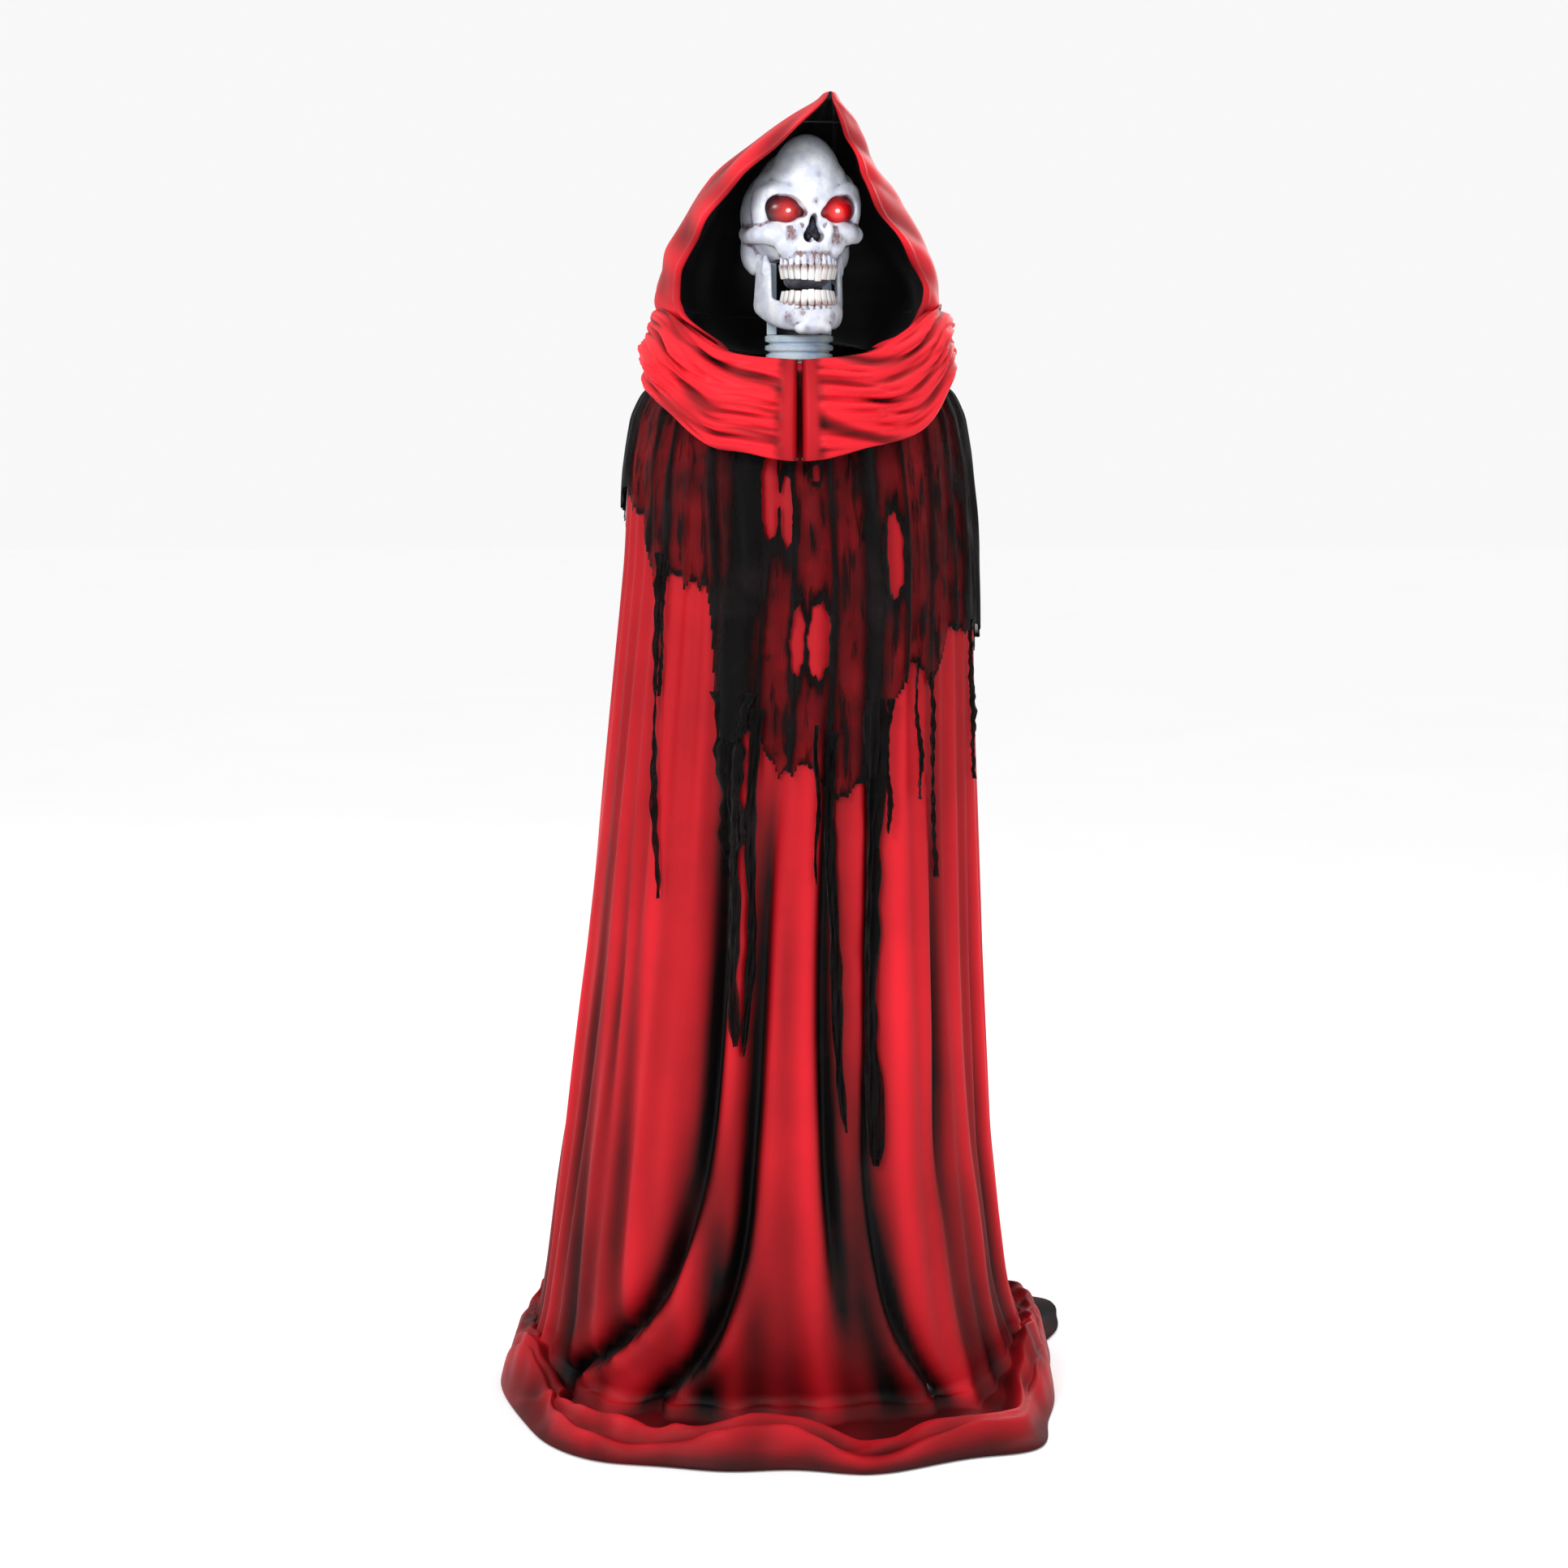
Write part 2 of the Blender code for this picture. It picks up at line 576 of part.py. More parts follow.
def skull_solid(name, mat, parent):
    """The skull's outer form with its cavity, still one piece from face to back."""
    whole = ball(name, SKULL_SIZE, SKULL, mat, parent=parent)
    upper_jaw = box(f"{name}_upper_jaw", (0.066, 0.058, 0.078), (0, -0.0575, 1.4890), None, bevel=0.014,
                    parent=parent, cutter=True)
    brow = ball(f"{name}_brow", (0.060, 0.030, 0.017), (0, -0.0560, 1.5610), None, 16, 8, parent=parent,
                cutter=True)
    cut(whole, upper_jaw, "UNION")
    cut(whole, brow, "UNION")
    for side in (-1, 1):
        cheek = ball(f"{name}_cheek_{side + 1}", (0.020, 0.024, 0.013), (side * 0.0490, -0.0480, 1.5080), None,
                     12, 8, parent=parent, cutter=True)
        cut(whole, cheek, "UNION")
    inner = SKULL_SIZE - Vector((SKULL_WALL, SKULL_WALL, SKULL_WALL))
    cut(whole, ball(f"{name}_cavity", inner, SKULL, None, parent=parent, cutter=True))
    return whole


def build_skull(head):
    face = skull_solid("skull_face", BONE, head)
    rear = box("rear_space", (0.3, 0.2, 0.3), (0, SKULL_SPLIT + 0.1, 1.53), None, parent=head, cutter=True)
    cut(face, rear)
    hinge_room = box("hinge_room", (0.3, 0.080, 0.10), (0, 0.014, SKULL_FLOOR - 0.05), None, parent=head,
                     cutter=True)
    cut(face, hinge_room)
    for side, word in ((-1, "left"), (1, "right")):
        spot = Vector((side * EYE.x, EYE.y, EYE.z))
        socket = rod(f"socket_{word}", EYE_R + FIT_GAP, 0.06, (spot.x, -0.070, spot.z), None,
                     rotation=(math.pi / 2, 0, 0), sides=24, parent=head, cutter=True)
        cut(face, socket)
        dome = [(EYE_R * math.cos(math.radians(a)), EYE_R * math.sin(math.radians(a))) for a in range(72, -1, -18)]
        thin = EYE_R - 0.0015
        inside = [(thin * math.cos(math.radians(a)), thin * math.sin(math.radians(a))) for a in range(0, 73, 18)]
        lens = [(0, EYE_R), *dome, *inside, (0, thin)]
        turned(f"eye_lens_{word}", lens, RED_LENS, location=spot + Vector((0, 0.004, 0)),
               rotation=(math.pi / 2, 0, 0), steps=20, parent=head)
        led = ((0, 0.0050), (0.0018, 0.0044), (0.0025, 0.0028), (0.0025, -0.0030), (0.0030, -0.0032),
               (0.0030, -0.0042), (0, -0.0042))
        turned(f"eye_led_{word}", led, RED_LENS, location=spot + Vector((0, 0.0, 0)),
               rotation=(math.pi / 2, 0, 0), steps=16, parent=head)
    nose = box("nose_opening", (0.020, 0.060, 0.028), (0, -0.085, 1.512), None, parent=head, cutter=True)
    cut(face, nose)
    back = ball("skull_back", SKULL_SIZE, SKULL, BONE, parent=head)
    inner = SKULL_SIZE - Vector((SKULL_WALL, SKULL_WALL, SKULL_WALL))
    cut(back, ball("back_cavity", inner, SKULL, None, parent=head, cutter=True))
    front = box("front_space", (0.3, 0.2, 0.3), (0, SKULL_SPLIT + FIT_GAP - 0.1, 1.53), None, parent=head,
                cutter=True)
    cut(back, front)
    neck_room = box("neck_room", (0.3, 0.2, 0.10), (0, 0.10, SKULL_FLOOR - 0.05), None, parent=head, cutter=True)
    cut(back, neck_room)


def build_jaw(head):
    jaw = pivot("jaw_pivot", JAW, parent=head)
    # Half of the jaw's body, chin to angle: x, y, lower and upper edge.
    half = ((0.0, -0.0800, 1.382, 1.4385), (0.014, -0.0780, 1.382, 1.4385), (0.026, -0.0660, 1.385, 1.4380),
            (0.034, -0.0480, 1.389, 1.4375), (0.041, -0.0240, 1.394, 1.4370), (0.047, 0.0030, 1.403, 1.4380),
            (0.049, 0.0180, 1.412, 1.4380))
    rows = [(-x, y, low, high) for x, y, low, high in reversed(half[1:])] + list(half)
    rings = [[Vector((x, y, low)) - JAW, Vector((x, y, (low + high) / 2)) - JAW, Vector((x, y, high)) - JAW]
             for x, y, low, high in rows]
    mandible = loft("mandible", rings, BONE, 0.006, around=False, parent=jaw)
    for side, word in ((-1, "left"), (1, "right")):
        ramus = box(f"ramus_{word}", (0.006, 0.020, 0.080), (side * RAMUS_X, 0.0, -0.034), None,
                    bevel=0.002, parent=jaw, cutter=True)
        cut(mandible, ramus, "UNION")
        hole = rod(f"pin_hole_{word}", 0.0022, 0.03, (side * RAMUS_X, 0, 0), None,
                   rotation=(0, math.pi / 2, 0), sides=12, parent=jaw, cutter=True)
        cut(mandible, hole)
    sector = gear_outline(JAW_TEETH, first=-210, span=60, hub=0.006)
    plate("jaw_gear", [sector, circle(0.0022, 12)], 0.005, NYLON, parent=jaw, location=(JAW_GEAR_X, 0, 0),
          rotation=(0, math.pi / 2, 0))
    spacing = MODULE * (JAW_TEETH + PINION_TEETH) / 2
    drive = pivot("jaw_pinion_pivot", (JAW_GEAR_X, JAW.y, JAW.z + spacing), (0, math.pi / 2, 0), parent=head)
    pinion = plate("jaw_pinion", [gear_outline(PINION_TEETH, first=15)], 0.005, NYLON, parent=drive)
    stem = rod("jaw_pinion_stem", 0.0015, 0.006, (0, 0, -0.003), None, sides=12, parent=drive, cutter=True)
    as_mesh(pinion, stem)


# ---------------------------------------------------------------- control box

def build_control_box():
    """Two half shells behind the pole, with the board, speaker, cells and controls."""
    frame = pivot("control_box_pivot", (AXIS_X, BOX_Y, BOX_Z))
    middle = BOX_DEPTH
    front = box("control_box_front", (BOX_W, BOX_DEPTH, BOX_H), (0, BOX_DEPTH / 2, 0), ABS, bevel=0.003,
                parent=frame)
    cut(front, box("front_cavity", (BOX_W - 2 * BOX_WALL, BOX_DEPTH, BOX_H - 2 * BOX_WALL),
                   (0, BOX_DEPTH / 2 + BOX_WALL, 0), None, parent=frame, cutter=True))
    back = box("control_box_back", (BOX_W, BOX_DEPTH, BOX_H), (0, middle + FIT_GAP + BOX_DEPTH / 2, 0), ABS,
               bevel=0.003, parent=frame)
    face = middle + FIT_GAP + BOX_DEPTH
    cut(back, box("back_cavity_box", (BOX_W - 2 * BOX_WALL, BOX_DEPTH, BOX_H - 2 * BOX_WALL),
                  (0, face - BOX_DEPTH / 2 - BOX_WALL, 0), None, parent=frame, cutter=True))
    door_z = DOOR_Z - BOX_Z + DOOR_H / 2
    cut(back, box("cell_opening", (DOOR_W - 0.006, 0.02, DOOR_H - 0.006), (0, face, door_z), None,
                  parent=frame, cutter=True))
    for number in range(4):
        cut(back, box(f"grille_slot_{number}", (0.036, 0.02, 0.003), (0, face, 0.026 + 0.007 * number), None,
                      parent=frame, cutter=True))
    hinge = pivot("battery_door_pivot", (0, face + FIT_GAP + 0.0012, DOOR_Z - BOX_Z), parent=frame)
    box("battery_door", (DOOR_W, 0.0024, DOOR_H), (0, 0, DOOR_H / 2), ABS, bevel=0.0006, parent=hinge)
    for number in range(3):
        height = DOOR_Z - BOX_Z + 0.010 + 0.016 * number
        turned(f"battery_{number + 1}", ((0, CELL_L / 2 + 0.001), (0.0026, CELL_L / 2 + 0.001),
                                         (0.0026, CELL_L / 2), (CELL_R, CELL_L / 2), (CELL_R, -CELL_L / 2),
                                         (0, -CELL_L / 2)), CELL, parent=frame,
               location=(0, face - 0.011, height), rotation=(0, math.pi / 2, 0), steps=16)
    box("circuit_board", (0.070, 0.0016, 0.090), (0, 0.010, 0.004), BOARD, parent=frame)
    cone = ((0, -0.006), (0.010, -0.0055), (0.020, 0), (0.0225, 0), (0.0225, -0.003), (0.012, -0.008),
            (0.012, -0.014), (0, -0.014))
    turned("speaker", cone, STEEL, parent=frame, location=(0, face - BOX_WALL - 0.001, 0.0365),
           rotation=(-math.pi / 2, 0, 0))
    build_controls(frame, front, back)


def build_controls(frame, front, back):
    side = BOX_W / 2
    depth = BOX_DEPTH / 2
    cut(front, box("switch_slot", (0.02, 0.0036, 0.0160), (-side, depth, 0.020), None, parent=frame, cutter=True))
    knob = box("power_switch", (0.0040, 0.0070, 0.0090), (-side - 0.0020 - FIT_GAP, depth, 0.0165), ABS,
               bevel=0.0006, parent=frame)
    stem = box("switch_stem", (0.0100, 0.0026, 0.0060), (-side, depth, 0.0165), None, parent=frame, cutter=True)
    cut(knob, stem, "UNION")
    cut(front, rod("button_hole", 0.0056, 0.02, (side, depth, 0.020), None, rotation=(0, math.pi / 2, 0),
                   parent=frame, cutter=True))
    button = ((0, 0.0050), (0.0042, 0.0048), (0.0050, 0.0040), (0.0050, -0.0030), (0.0068, -0.0030),
              (0.0068, -0.0050), (0, -0.0050))
    turned("demo_button", button, RED_LENS, parent=frame, location=(side, depth, 0.020),
           rotation=(0, math.pi / 2, 0), steps=16)
    cut(front, rod("jack_hole", 0.0048, 0.02, (0.020, depth, -BOX_H / 2), None, parent=frame, cutter=True))
    jack = ((0.0042, 0.0090), (0.0042, -0.0005), (0.0062, -0.0005), (0.0062, -0.0025), (0.0018, -0.0025),
            (0.0018, 0.0090))
    turned("power_jack", jack, ABS, parent=frame, location=(0.020, depth, -BOX_H / 2), steps=16)


build_base()
build_poles()
build_shoulders()
HEAD = build_neck()
build_straps(HEAD)
build_skull(HEAD)
build_jaw(HEAD)
build_control_box()
build_robe()
build_gauze()
build_train()
build_cowl()
build_hood()
build_hood_wire()
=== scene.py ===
"""Looks of the hooded skeleton figure: satin robe, hood and cowl, torn gauze, moulded skull and lit eyes."""
import json
import math
import random

import bpy
import numpy as np
from mathutils import Matrix, Vector

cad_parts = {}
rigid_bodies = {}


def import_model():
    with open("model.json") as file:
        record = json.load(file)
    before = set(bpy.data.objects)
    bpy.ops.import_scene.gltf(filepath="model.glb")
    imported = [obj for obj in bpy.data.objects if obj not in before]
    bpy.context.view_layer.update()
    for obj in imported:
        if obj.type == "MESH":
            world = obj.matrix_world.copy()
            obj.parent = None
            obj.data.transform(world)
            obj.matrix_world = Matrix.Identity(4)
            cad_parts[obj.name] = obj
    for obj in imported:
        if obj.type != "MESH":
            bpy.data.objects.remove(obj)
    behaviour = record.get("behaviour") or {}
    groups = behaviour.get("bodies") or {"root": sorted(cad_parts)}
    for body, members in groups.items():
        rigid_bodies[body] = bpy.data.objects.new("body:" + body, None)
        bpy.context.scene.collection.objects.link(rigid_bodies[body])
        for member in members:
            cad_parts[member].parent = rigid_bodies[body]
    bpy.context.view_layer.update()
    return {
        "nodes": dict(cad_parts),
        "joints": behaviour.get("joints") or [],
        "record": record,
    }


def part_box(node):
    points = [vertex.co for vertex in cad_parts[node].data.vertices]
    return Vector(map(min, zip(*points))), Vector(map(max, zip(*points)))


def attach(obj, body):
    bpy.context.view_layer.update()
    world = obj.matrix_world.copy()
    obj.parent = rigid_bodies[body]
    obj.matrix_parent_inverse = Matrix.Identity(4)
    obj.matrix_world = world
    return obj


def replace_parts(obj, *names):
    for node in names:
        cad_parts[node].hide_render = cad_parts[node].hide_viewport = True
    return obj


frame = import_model()

# ------------------------------------------------------------------ driving sizes, in metres

AXIS_X = frame["joints"][0]["pos_m"][0]
HEAD_YAW = math.radians(14)
FRONT = -90.0                     # angles go round the figure, in degrees, and 0 is the side named right
BACK = 90.0
SATIN_CLOTH = 0.0016              # the thickness of the red satin, of the train, and of the gauze
TRAIN_CLOTH = 0.0014
GAUZE_CLOTH = 0.0005
GAUZE_OFF = 0.005                 # how far the gauze lies off the robe
ROBE_TOP = 1.347
HOOD_PEAK = 1.6797
SHAWL_TOP = 1.338
SHAWL_FOOT = 0.790
SHAWL_GIRTH = 0.225               # mean radius of the robe under the shawl and its ribbons, so that a turn in
RIBBON_GIRTH = 0.235              # degrees becomes a length of gauze

# From the head's own frame, which looks along -Y, into the figure's.
HEAD_PLACE = Matrix.Translation((AXIS_X, 0, 0)) @ Matrix.Rotation(HEAD_YAW, 4, "Z")

# The camera: its place, how far it looks down in degrees, and its lens in millimetres.
CAMERA_PLACE = (-0.0125, -4.0, 1.40)
CAMERA_DOWN = 8.583
CAMERA_LENS = 70.55

# How many points each cloth has across it, or round it, and down it.
SKIRT_COLUMNS, SKIRT_ROWS, POOL_ROWS = 340, 96, 46
HOOD_COLUMNS, HOOD_ROWS = 190, 110
COWL_COLUMNS, COWL_ROWS = 190, 74
SHAWL_COLUMNS, SHAWL_ROWS = 460, 118
TRAIN_COLUMNS, TRAIN_ROWS = 120, 64

# The robe's rim on the floor: its middle, half width, and how far it reaches in front and behind.
RIM_MIDDLE, RIM_HALF, RIM_FRONT, RIM_BACK = -0.0150, 0.3690, 0.397, 0.322
RIM_TURN = 1.16                   # past 1, the cloth turns back under its rim

# The robe without its folds: height, centre, half width, front and back half depth.
ROBE_FORM = np.array((
    (0.000, -0.0190, 0.3430, 0.214, 0.290),
    (0.030, -0.0190, 0.3390, 0.220, 0.286),
    (0.060, -0.0200, 0.3280, 0.228, 0.277),
    (0.100, -0.0215, 0.3160, 0.233, 0.266),
    (0.150, -0.0230, 0.3070, 0.236, 0.256),
    (0.330, -0.0220, 0.2850, 0.229, 0.238),
    (0.580, -0.0125, 0.2610, 0.211, 0.214),
    (0.830, -0.0040, 0.2425, 0.192, 0.190),
    (1.095, 0.0060, 0.2245, 0.169, 0.170),
    (1.220, 0.0040, 0.2160, 0.154, 0.160),
    (1.290, 0.0050, 0.2030, 0.138, 0.145),
    (1.325, 0.0060, 0.1780, 0.120, 0.130),
    (1.340, 0.0070, 0.1350, 0.098, 0.105),
    (ROBE_TOP, 0.0070, 0.0850, 0.078, 0.080)))

# Valleys between the robe's long folds: angle at the top, drift on the way down, sweep at the floor, depth,
# the heights where the valley starts and ends, and its width.
VALLEYS = (
    (-157, -2, -4, 0.010, 1.15, 0.10, 0.024), (-143, 0, -6, 0.017, 0.95, 0.30, 0.011),
    (-134, 3, -12, 0.008, 0.70, 0.16, 0.026), (-113, -8, 0, 0.017, 1.05, 0.60, 0.012),
    (-109.3, -1, -44, 0.040, 0.93, 0.00, 0.014), (-101.5, -5, -20, 0.009, 0.80, 0.12, 0.013),
    (-93.8, -4, -24, 0.036, 0.92, 0.00, 0.013), (-89.5, -1, 4, 0.017, 0.92, 0.34, 0.015),
    (-80, 5, 6, 0.022, 1.00, 0.05, 0.014), (-70, 3, 6, 0.008, 0.60, 0.05, 0.013),
    (-66, 3, 12, 0.020, 1.05, 0.00, 0.013), (-56, 2, 8, 0.007, 0.55, 0.08, 0.030),
    (-40, -3, 6, 0.016, 1.12, 0.22, 0.013), (-31, 4, 6, 0.010, 0.90, 0.20, 0.012),
    (-19, 2, -6, 0.014, 0.85, 0.02, 0.013), (-6, -2, 3, 0.012, 1.05, 0.05, 0.016))


def select_only(*items):
    """Deselects everything else; the first item is the active one."""
    bpy.ops.object.select_all(action="DESELECT")
    for item in items:
        item.select_set(True)
    bpy.context.view_layer.objects.active = items[0]


def apply_modifiers(item):
    select_only(item)
    for step in list(item.modifiers):
        bpy.ops.object.modifier_apply(modifier=step.name)


def dress(item, *materials):
    """Smooth shading, and only these materials, the first of them all over."""
    item.data.materials.clear()
    for material in materials:
        item.data.materials.append(material)
    item.data.polygons.foreach_set("material_index", [0] * len(item.data.polygons))
    item.data.shade_smooth()


# ------------------------------------------------------------------ shader arithmetic

class Wire:
    """A shader socket that takes part in Python expressions."""

    def __init__(self, finish, socket):
        self.finish = finish
        self.socket = socket

    def maths(self, operation, other, swap=False):
        pair = (other, self) if swap else (self, other)
        return self.finish.node("ShaderNodeMath", {"operation": operation}, dict(enumerate(pair)))

    def __add__(self, other):
        return self.maths("ADD", other)

    def __radd__(self, other):
        return self.maths("ADD", other, True)

    def __sub__(self, other):
        return self.maths("SUBTRACT", other)

    def __rsub__(self, other):
        return self.maths("SUBTRACT", other, True)

    def __mul__(self, other):
        return self.maths("MULTIPLY", other)

    def __rmul__(self, other):
        return self.maths("MULTIPLY", other, True)

    def __truediv__(self, other):
        return self.maths("DIVIDE", other)

    def least(self, other):
        return self.maths("MINIMUM", other)

    def most(self, other):
        return self.maths("MAXIMUM", other)

    def step(self, low, high):
        """0 below low, 1 above high, smooth between."""
        return self.finish.node("ShaderNodeMapRange", {"interpolation_type": "SMOOTHSTEP"},
                                {0: self, 1: low, 2: high, 3: 0.0, 4: 1.0})


class Finish:
    """One material, built node by node."""

    def __init__(self, name, colour=(0.5, 0.5, 0.5), roughness=0.5, metallic=0.0, **fixed):
        self.material = bpy.data.materials.new(name)
        self.material.use_nodes = True
        self.tree = self.material.node_tree
        self.shader = self.tree.nodes["Principled BSDF"]
        self.set("Base Color", (*colour, 1))
        self.set("Roughness", roughness)
        self.set("Metallic", metallic)
        for socket, value in fixed.items():
            self.set(socket.replace("_", " ").title().replace("Ior", "IOR"), value)

    def put(self, socket, value):
        if isinstance(value, Wire):
            self.tree.links.new(value.socket, socket)
        elif isinstance(value, tuple) and len(value) == 3 and socket.type == "RGBA":
            socket.default_value = (*value, 1)
        else:
            socket.default_value = value

    def set(self, name, value):
        self.put(self.shader.inputs[name], value)

    def node(self, kind, settings=None, inputs=None, output=0):
        made = self.tree.nodes.new(kind)
        for key, value in (settings or {}).items():
            if key == "stops":
                for _ in range(len(value) - 2):
                    made.color_ramp.elements.new(0.5)
                for stop, (place, colour) in zip(made.color_ramp.elements, value):
                    stop.position = place
                    stop.color = (*colour, 1)
            else:
                setattr(made, key, value)
        for key, value in (inputs or {}).items():
            self.put(made.inputs[key], value)
        return Wire(self, made.outputs[output])

    def place(self, scale=(1, 1, 1), shift=(0, 0, 0), source="Object"):
        spot = self.node("ShaderNodeTexCoord", output=source)
        return self.node("ShaderNodeMapping", {}, {"Vector": spot, "Scale": scale, "Location": shift})

    def noise(self, where, scale, detail=4.0, rough=0.55, twist=0.0):
        return self.node("ShaderNodeTexNoise", {}, {"Vector": where, "Scale": scale, "Detail": detail,
                                                    "Roughness": rough, "Distortion": twist})

    def cells(self, where, scale, feature="F1"):
        return self.node("ShaderNodeTexVoronoi", {"feature": feature}, {"Vector": where, "Scale": scale})

    def ramp(self, value, stops):
        return self.node("ShaderNodeValToRGB", {"stops": stops}, {0: value})

    def mix(self, share, low, high):
        return self.node("ShaderNodeMix", {"data_type": "RGBA"}, {0: share, 6: low, 7: high}, output=2)

    def note(self, name):
        """A value written on the points of the mesh."""
        return self.node("ShaderNodeAttribute", {"attribute_name": name}, output="Fac")

    def bump(self, height, distance, strength=1.0):
        inputs = {"Height": height, "Distance": distance, "Strength": strength}
        self.set("Normal", self.node("ShaderNodeBump", {}, inputs))
        return self


# ------------------------------------------------------------------ finishes

def satin(name, dark, mid, bright, roughness=0.52):
    """Stretch satin: painted shade in the valleys of its folds and painted highlights on their ridges, with a
    fine knit grain.
    """
    made = Finish(name, roughness=roughness, specular_ior_level=0.16)
    spot = made.place()
    # The colour runs from dark painted shade through a deep and a mid colour to a bright painted highlight,
    # by the painted light value on the cloth.
    crest = made.note("crest")
    mottle = made.noise(spot, 9.0, 3.0)
    level = crest + (mottle - 0.5) * 0.22
    deep = tuple(value * 0.30 for value in mid)
    made.set("Base Color", made.ramp(level, ((0.0, dark), (0.22, deep), (0.50, mid), (0.92, bright))))
    made.set("Roughness", roughness - 0.08 * crest + 0.12 * made.noise(spot, 60.0))
    grain = made.noise(made.place(scale=(1, 1, 0.35)), 900.0, 2.0)
    made.bump(grain, 0.0002, 0.5)
    return made.material


def lining():
    """Black lining cloth with a faint sheen, and patches of painted blue sheen in its colour."""
    made = Finish("lining", roughness=0.5, sheen_weight=0.15)
    spot = made.place()
    # The glow mask places patches of painted blue sheen in the colour.
    glow = made.noise(spot, 14.0, 3.0, twist=0.6).step(0.56, 0.72)
    made.set("Base Color", made.mix(glow, (0.0035, 0.0035, 0.005), (0.006, 0.008, 0.035)))
    return made.bump(made.noise(spot, 700.0, 2.0), 0.0002, 0.4).material


def gauze():
    """Torn open gauze: loose threads both ways, thinner where it is stretched."""
    made = Finish("gauze", roughness=0.9, specular_ior_level=0.1, sheen_weight=0.05)
    spot = made.place(source="UV")
    warp = made.noise(spot, 26.0, 3.0)
    veins = made.noise(made.place(source="UV", scale=(1.0, 0.16, 1.0)), 85.0, 5.0, twist=0.5)
    blotch = made.noise(spot, 11.0, 4.0, 0.6, 0.8)
    lengthwise, across = [
        made.node("ShaderNodeTexWave", {"bands_direction": direction},
                  {"Vector": spot, "Scale": scale, "Distortion": 2.0, "Detail": 2.0, "Detail Scale": 1.2})
        for direction, scale in (("X", 150.0), ("Y", 120.0))]
    threads = lengthwise.step(0.45, 0.8).most(across.step(0.5, 0.85) * 0.6)
    thick = made.note("dense")
    cover = 0.15 + 0.18 * threads + 0.55 * veins.step(0.50, 0.68)
    cover = cover + 0.60 * (blotch - 0.45) + 0.3 * (warp - 0.5)
    made.set("Alpha", (cover + thick * 0.95).least(1.0).most(0.08))
    made.set("Base Color", made.mix(blotch.step(0.4, 0.75), (0.0025, 0.002, 0.002), (0.010, 0.006, 0.007)))
    return made.bump(threads, 0.0006, 0.6).material


def bone():
    """Moulded bone plastic: cool white, with painted grey shade and a brown wash in the hollows that also
    stands for shade, near black where both are strongest, small pits.
    """
    made = Finish("bone", roughness=0.50, specular_ior_level=0.30)
    spot = made.place()
    hollow = made.note("hollow")
    mottle = made.noise(spot, 55.0, 5.0, 0.6)
    fine = made.noise(spot, 240.0, 4.0, 0.6)
    streak = made.noise(made.place(scale=(1, 1, 0.35)), 150.0, 4.0, 0.6, 0.6)
    base = made.mix(mottle.step(0.35, 0.7), (0.68, 0.72, 0.85), (0.93, 0.95, 0.99))
    blotch = made.noise(spot, 90.0, 6.0, 0.7, 0.8)
    break_up = (streak - 0.5) * 2.2 + (fine - 0.5) * 1.8 + (blotch - 0.5) * 2.0
    # The hollows get painted grey shade and a brown wash that also stands for shade there; where both are
    # strongest they turn near black.
    wash_and_shade = hollow + break_up * hollow.step(0.02, 0.5)
    shaded = made.mix(hollow.step(0.05, 0.55), base, (0.40, 0.40, 0.50))
    stained = made.mix(wash_and_shade.step(0.30, 0.95), shaded, (0.25, 0.145, 0.13))
    cracks = made.noise(made.place(scale=(1, 1, 0.28)), 300.0, 3.0, 0.6).step(0.60, 0.68)
    cracks = cracks * hollow.step(0.06, 0.30)
    stained = made.mix(cracks * 0.8, stained, (0.16, 0.09, 0.09))
    made.set("Base Color", made.mix(wash_and_shade.step(1.0, 1.7), stained, (0.06, 0.028, 0.026)))
    made.set("Roughness", 0.40 + 0.25 * hollow + 0.12 * fine)
    pits = made.cells(spot, 120.0).step(0.02, 0.11)
    return made.bump(fine * 0.6 + pits * 0.35 + streak * 0.4, 0.0009, 0.55).material


def shaded_bone():
    """The same plastic in the shade of the mouth, painted grey as that shade, and rough."""
    made = Finish("shaded_bone", roughness=0.55)
    spot = made.place()
    shade = made.noise(spot, 70.0, 4.0)
    made.set("Base Color", made.mix(shade.step(0.3, 0.7), (0.09, 0.085, 0.11), (0.24, 0.23, 0.28)))
    return made.bump(shade + made.noise(spot, 260.0), 0.0006, 0.5).material


def enamel():
    """The moulded teeth: ivory, stained towards the gum."""
    made = Finish("enamel", roughness=0.28, specular_ior_level=0.5, coat_weight=0.2)
    spot = made.place()
    gum = made.note("gum")
    fine = made.noise(spot, 260.0, 4.0)
    ivory = made.mix(made.noise(spot, 70.0).step(0.4, 0.65), (0.80, 0.82, 0.84), (0.88, 0.80, 0.74))
    stain = (gum + (fine - 0.5) * 0.5).step(0.62, 1.15)
    made.set("Base Color", made.mix(stain, ivory, (0.36, 0.23, 0.20)))
    made.set("Roughness", 0.25 + 0.3 * stain)
    return made.bump(made.noise(made.place(scale=(1, 1, 0.25)), 420.0, 3.0), 0.0004, 0.4).material


def nasal_dark():
    """Near black with painted blue glints, wet looking."""
    made = Finish("nasal_dark", roughness=0.45)
    spot = made.place()
    glint = made.noise(spot, 160.0, 3.0).step(0.5, 0.68)
    made.set("Base Color", made.mix(glint, (0.002, 0.002, 0.006), (0.02, 0.025, 0.09)))
    return made.bump(made.noise(spot, 200.0), 0.002, 0.6).material


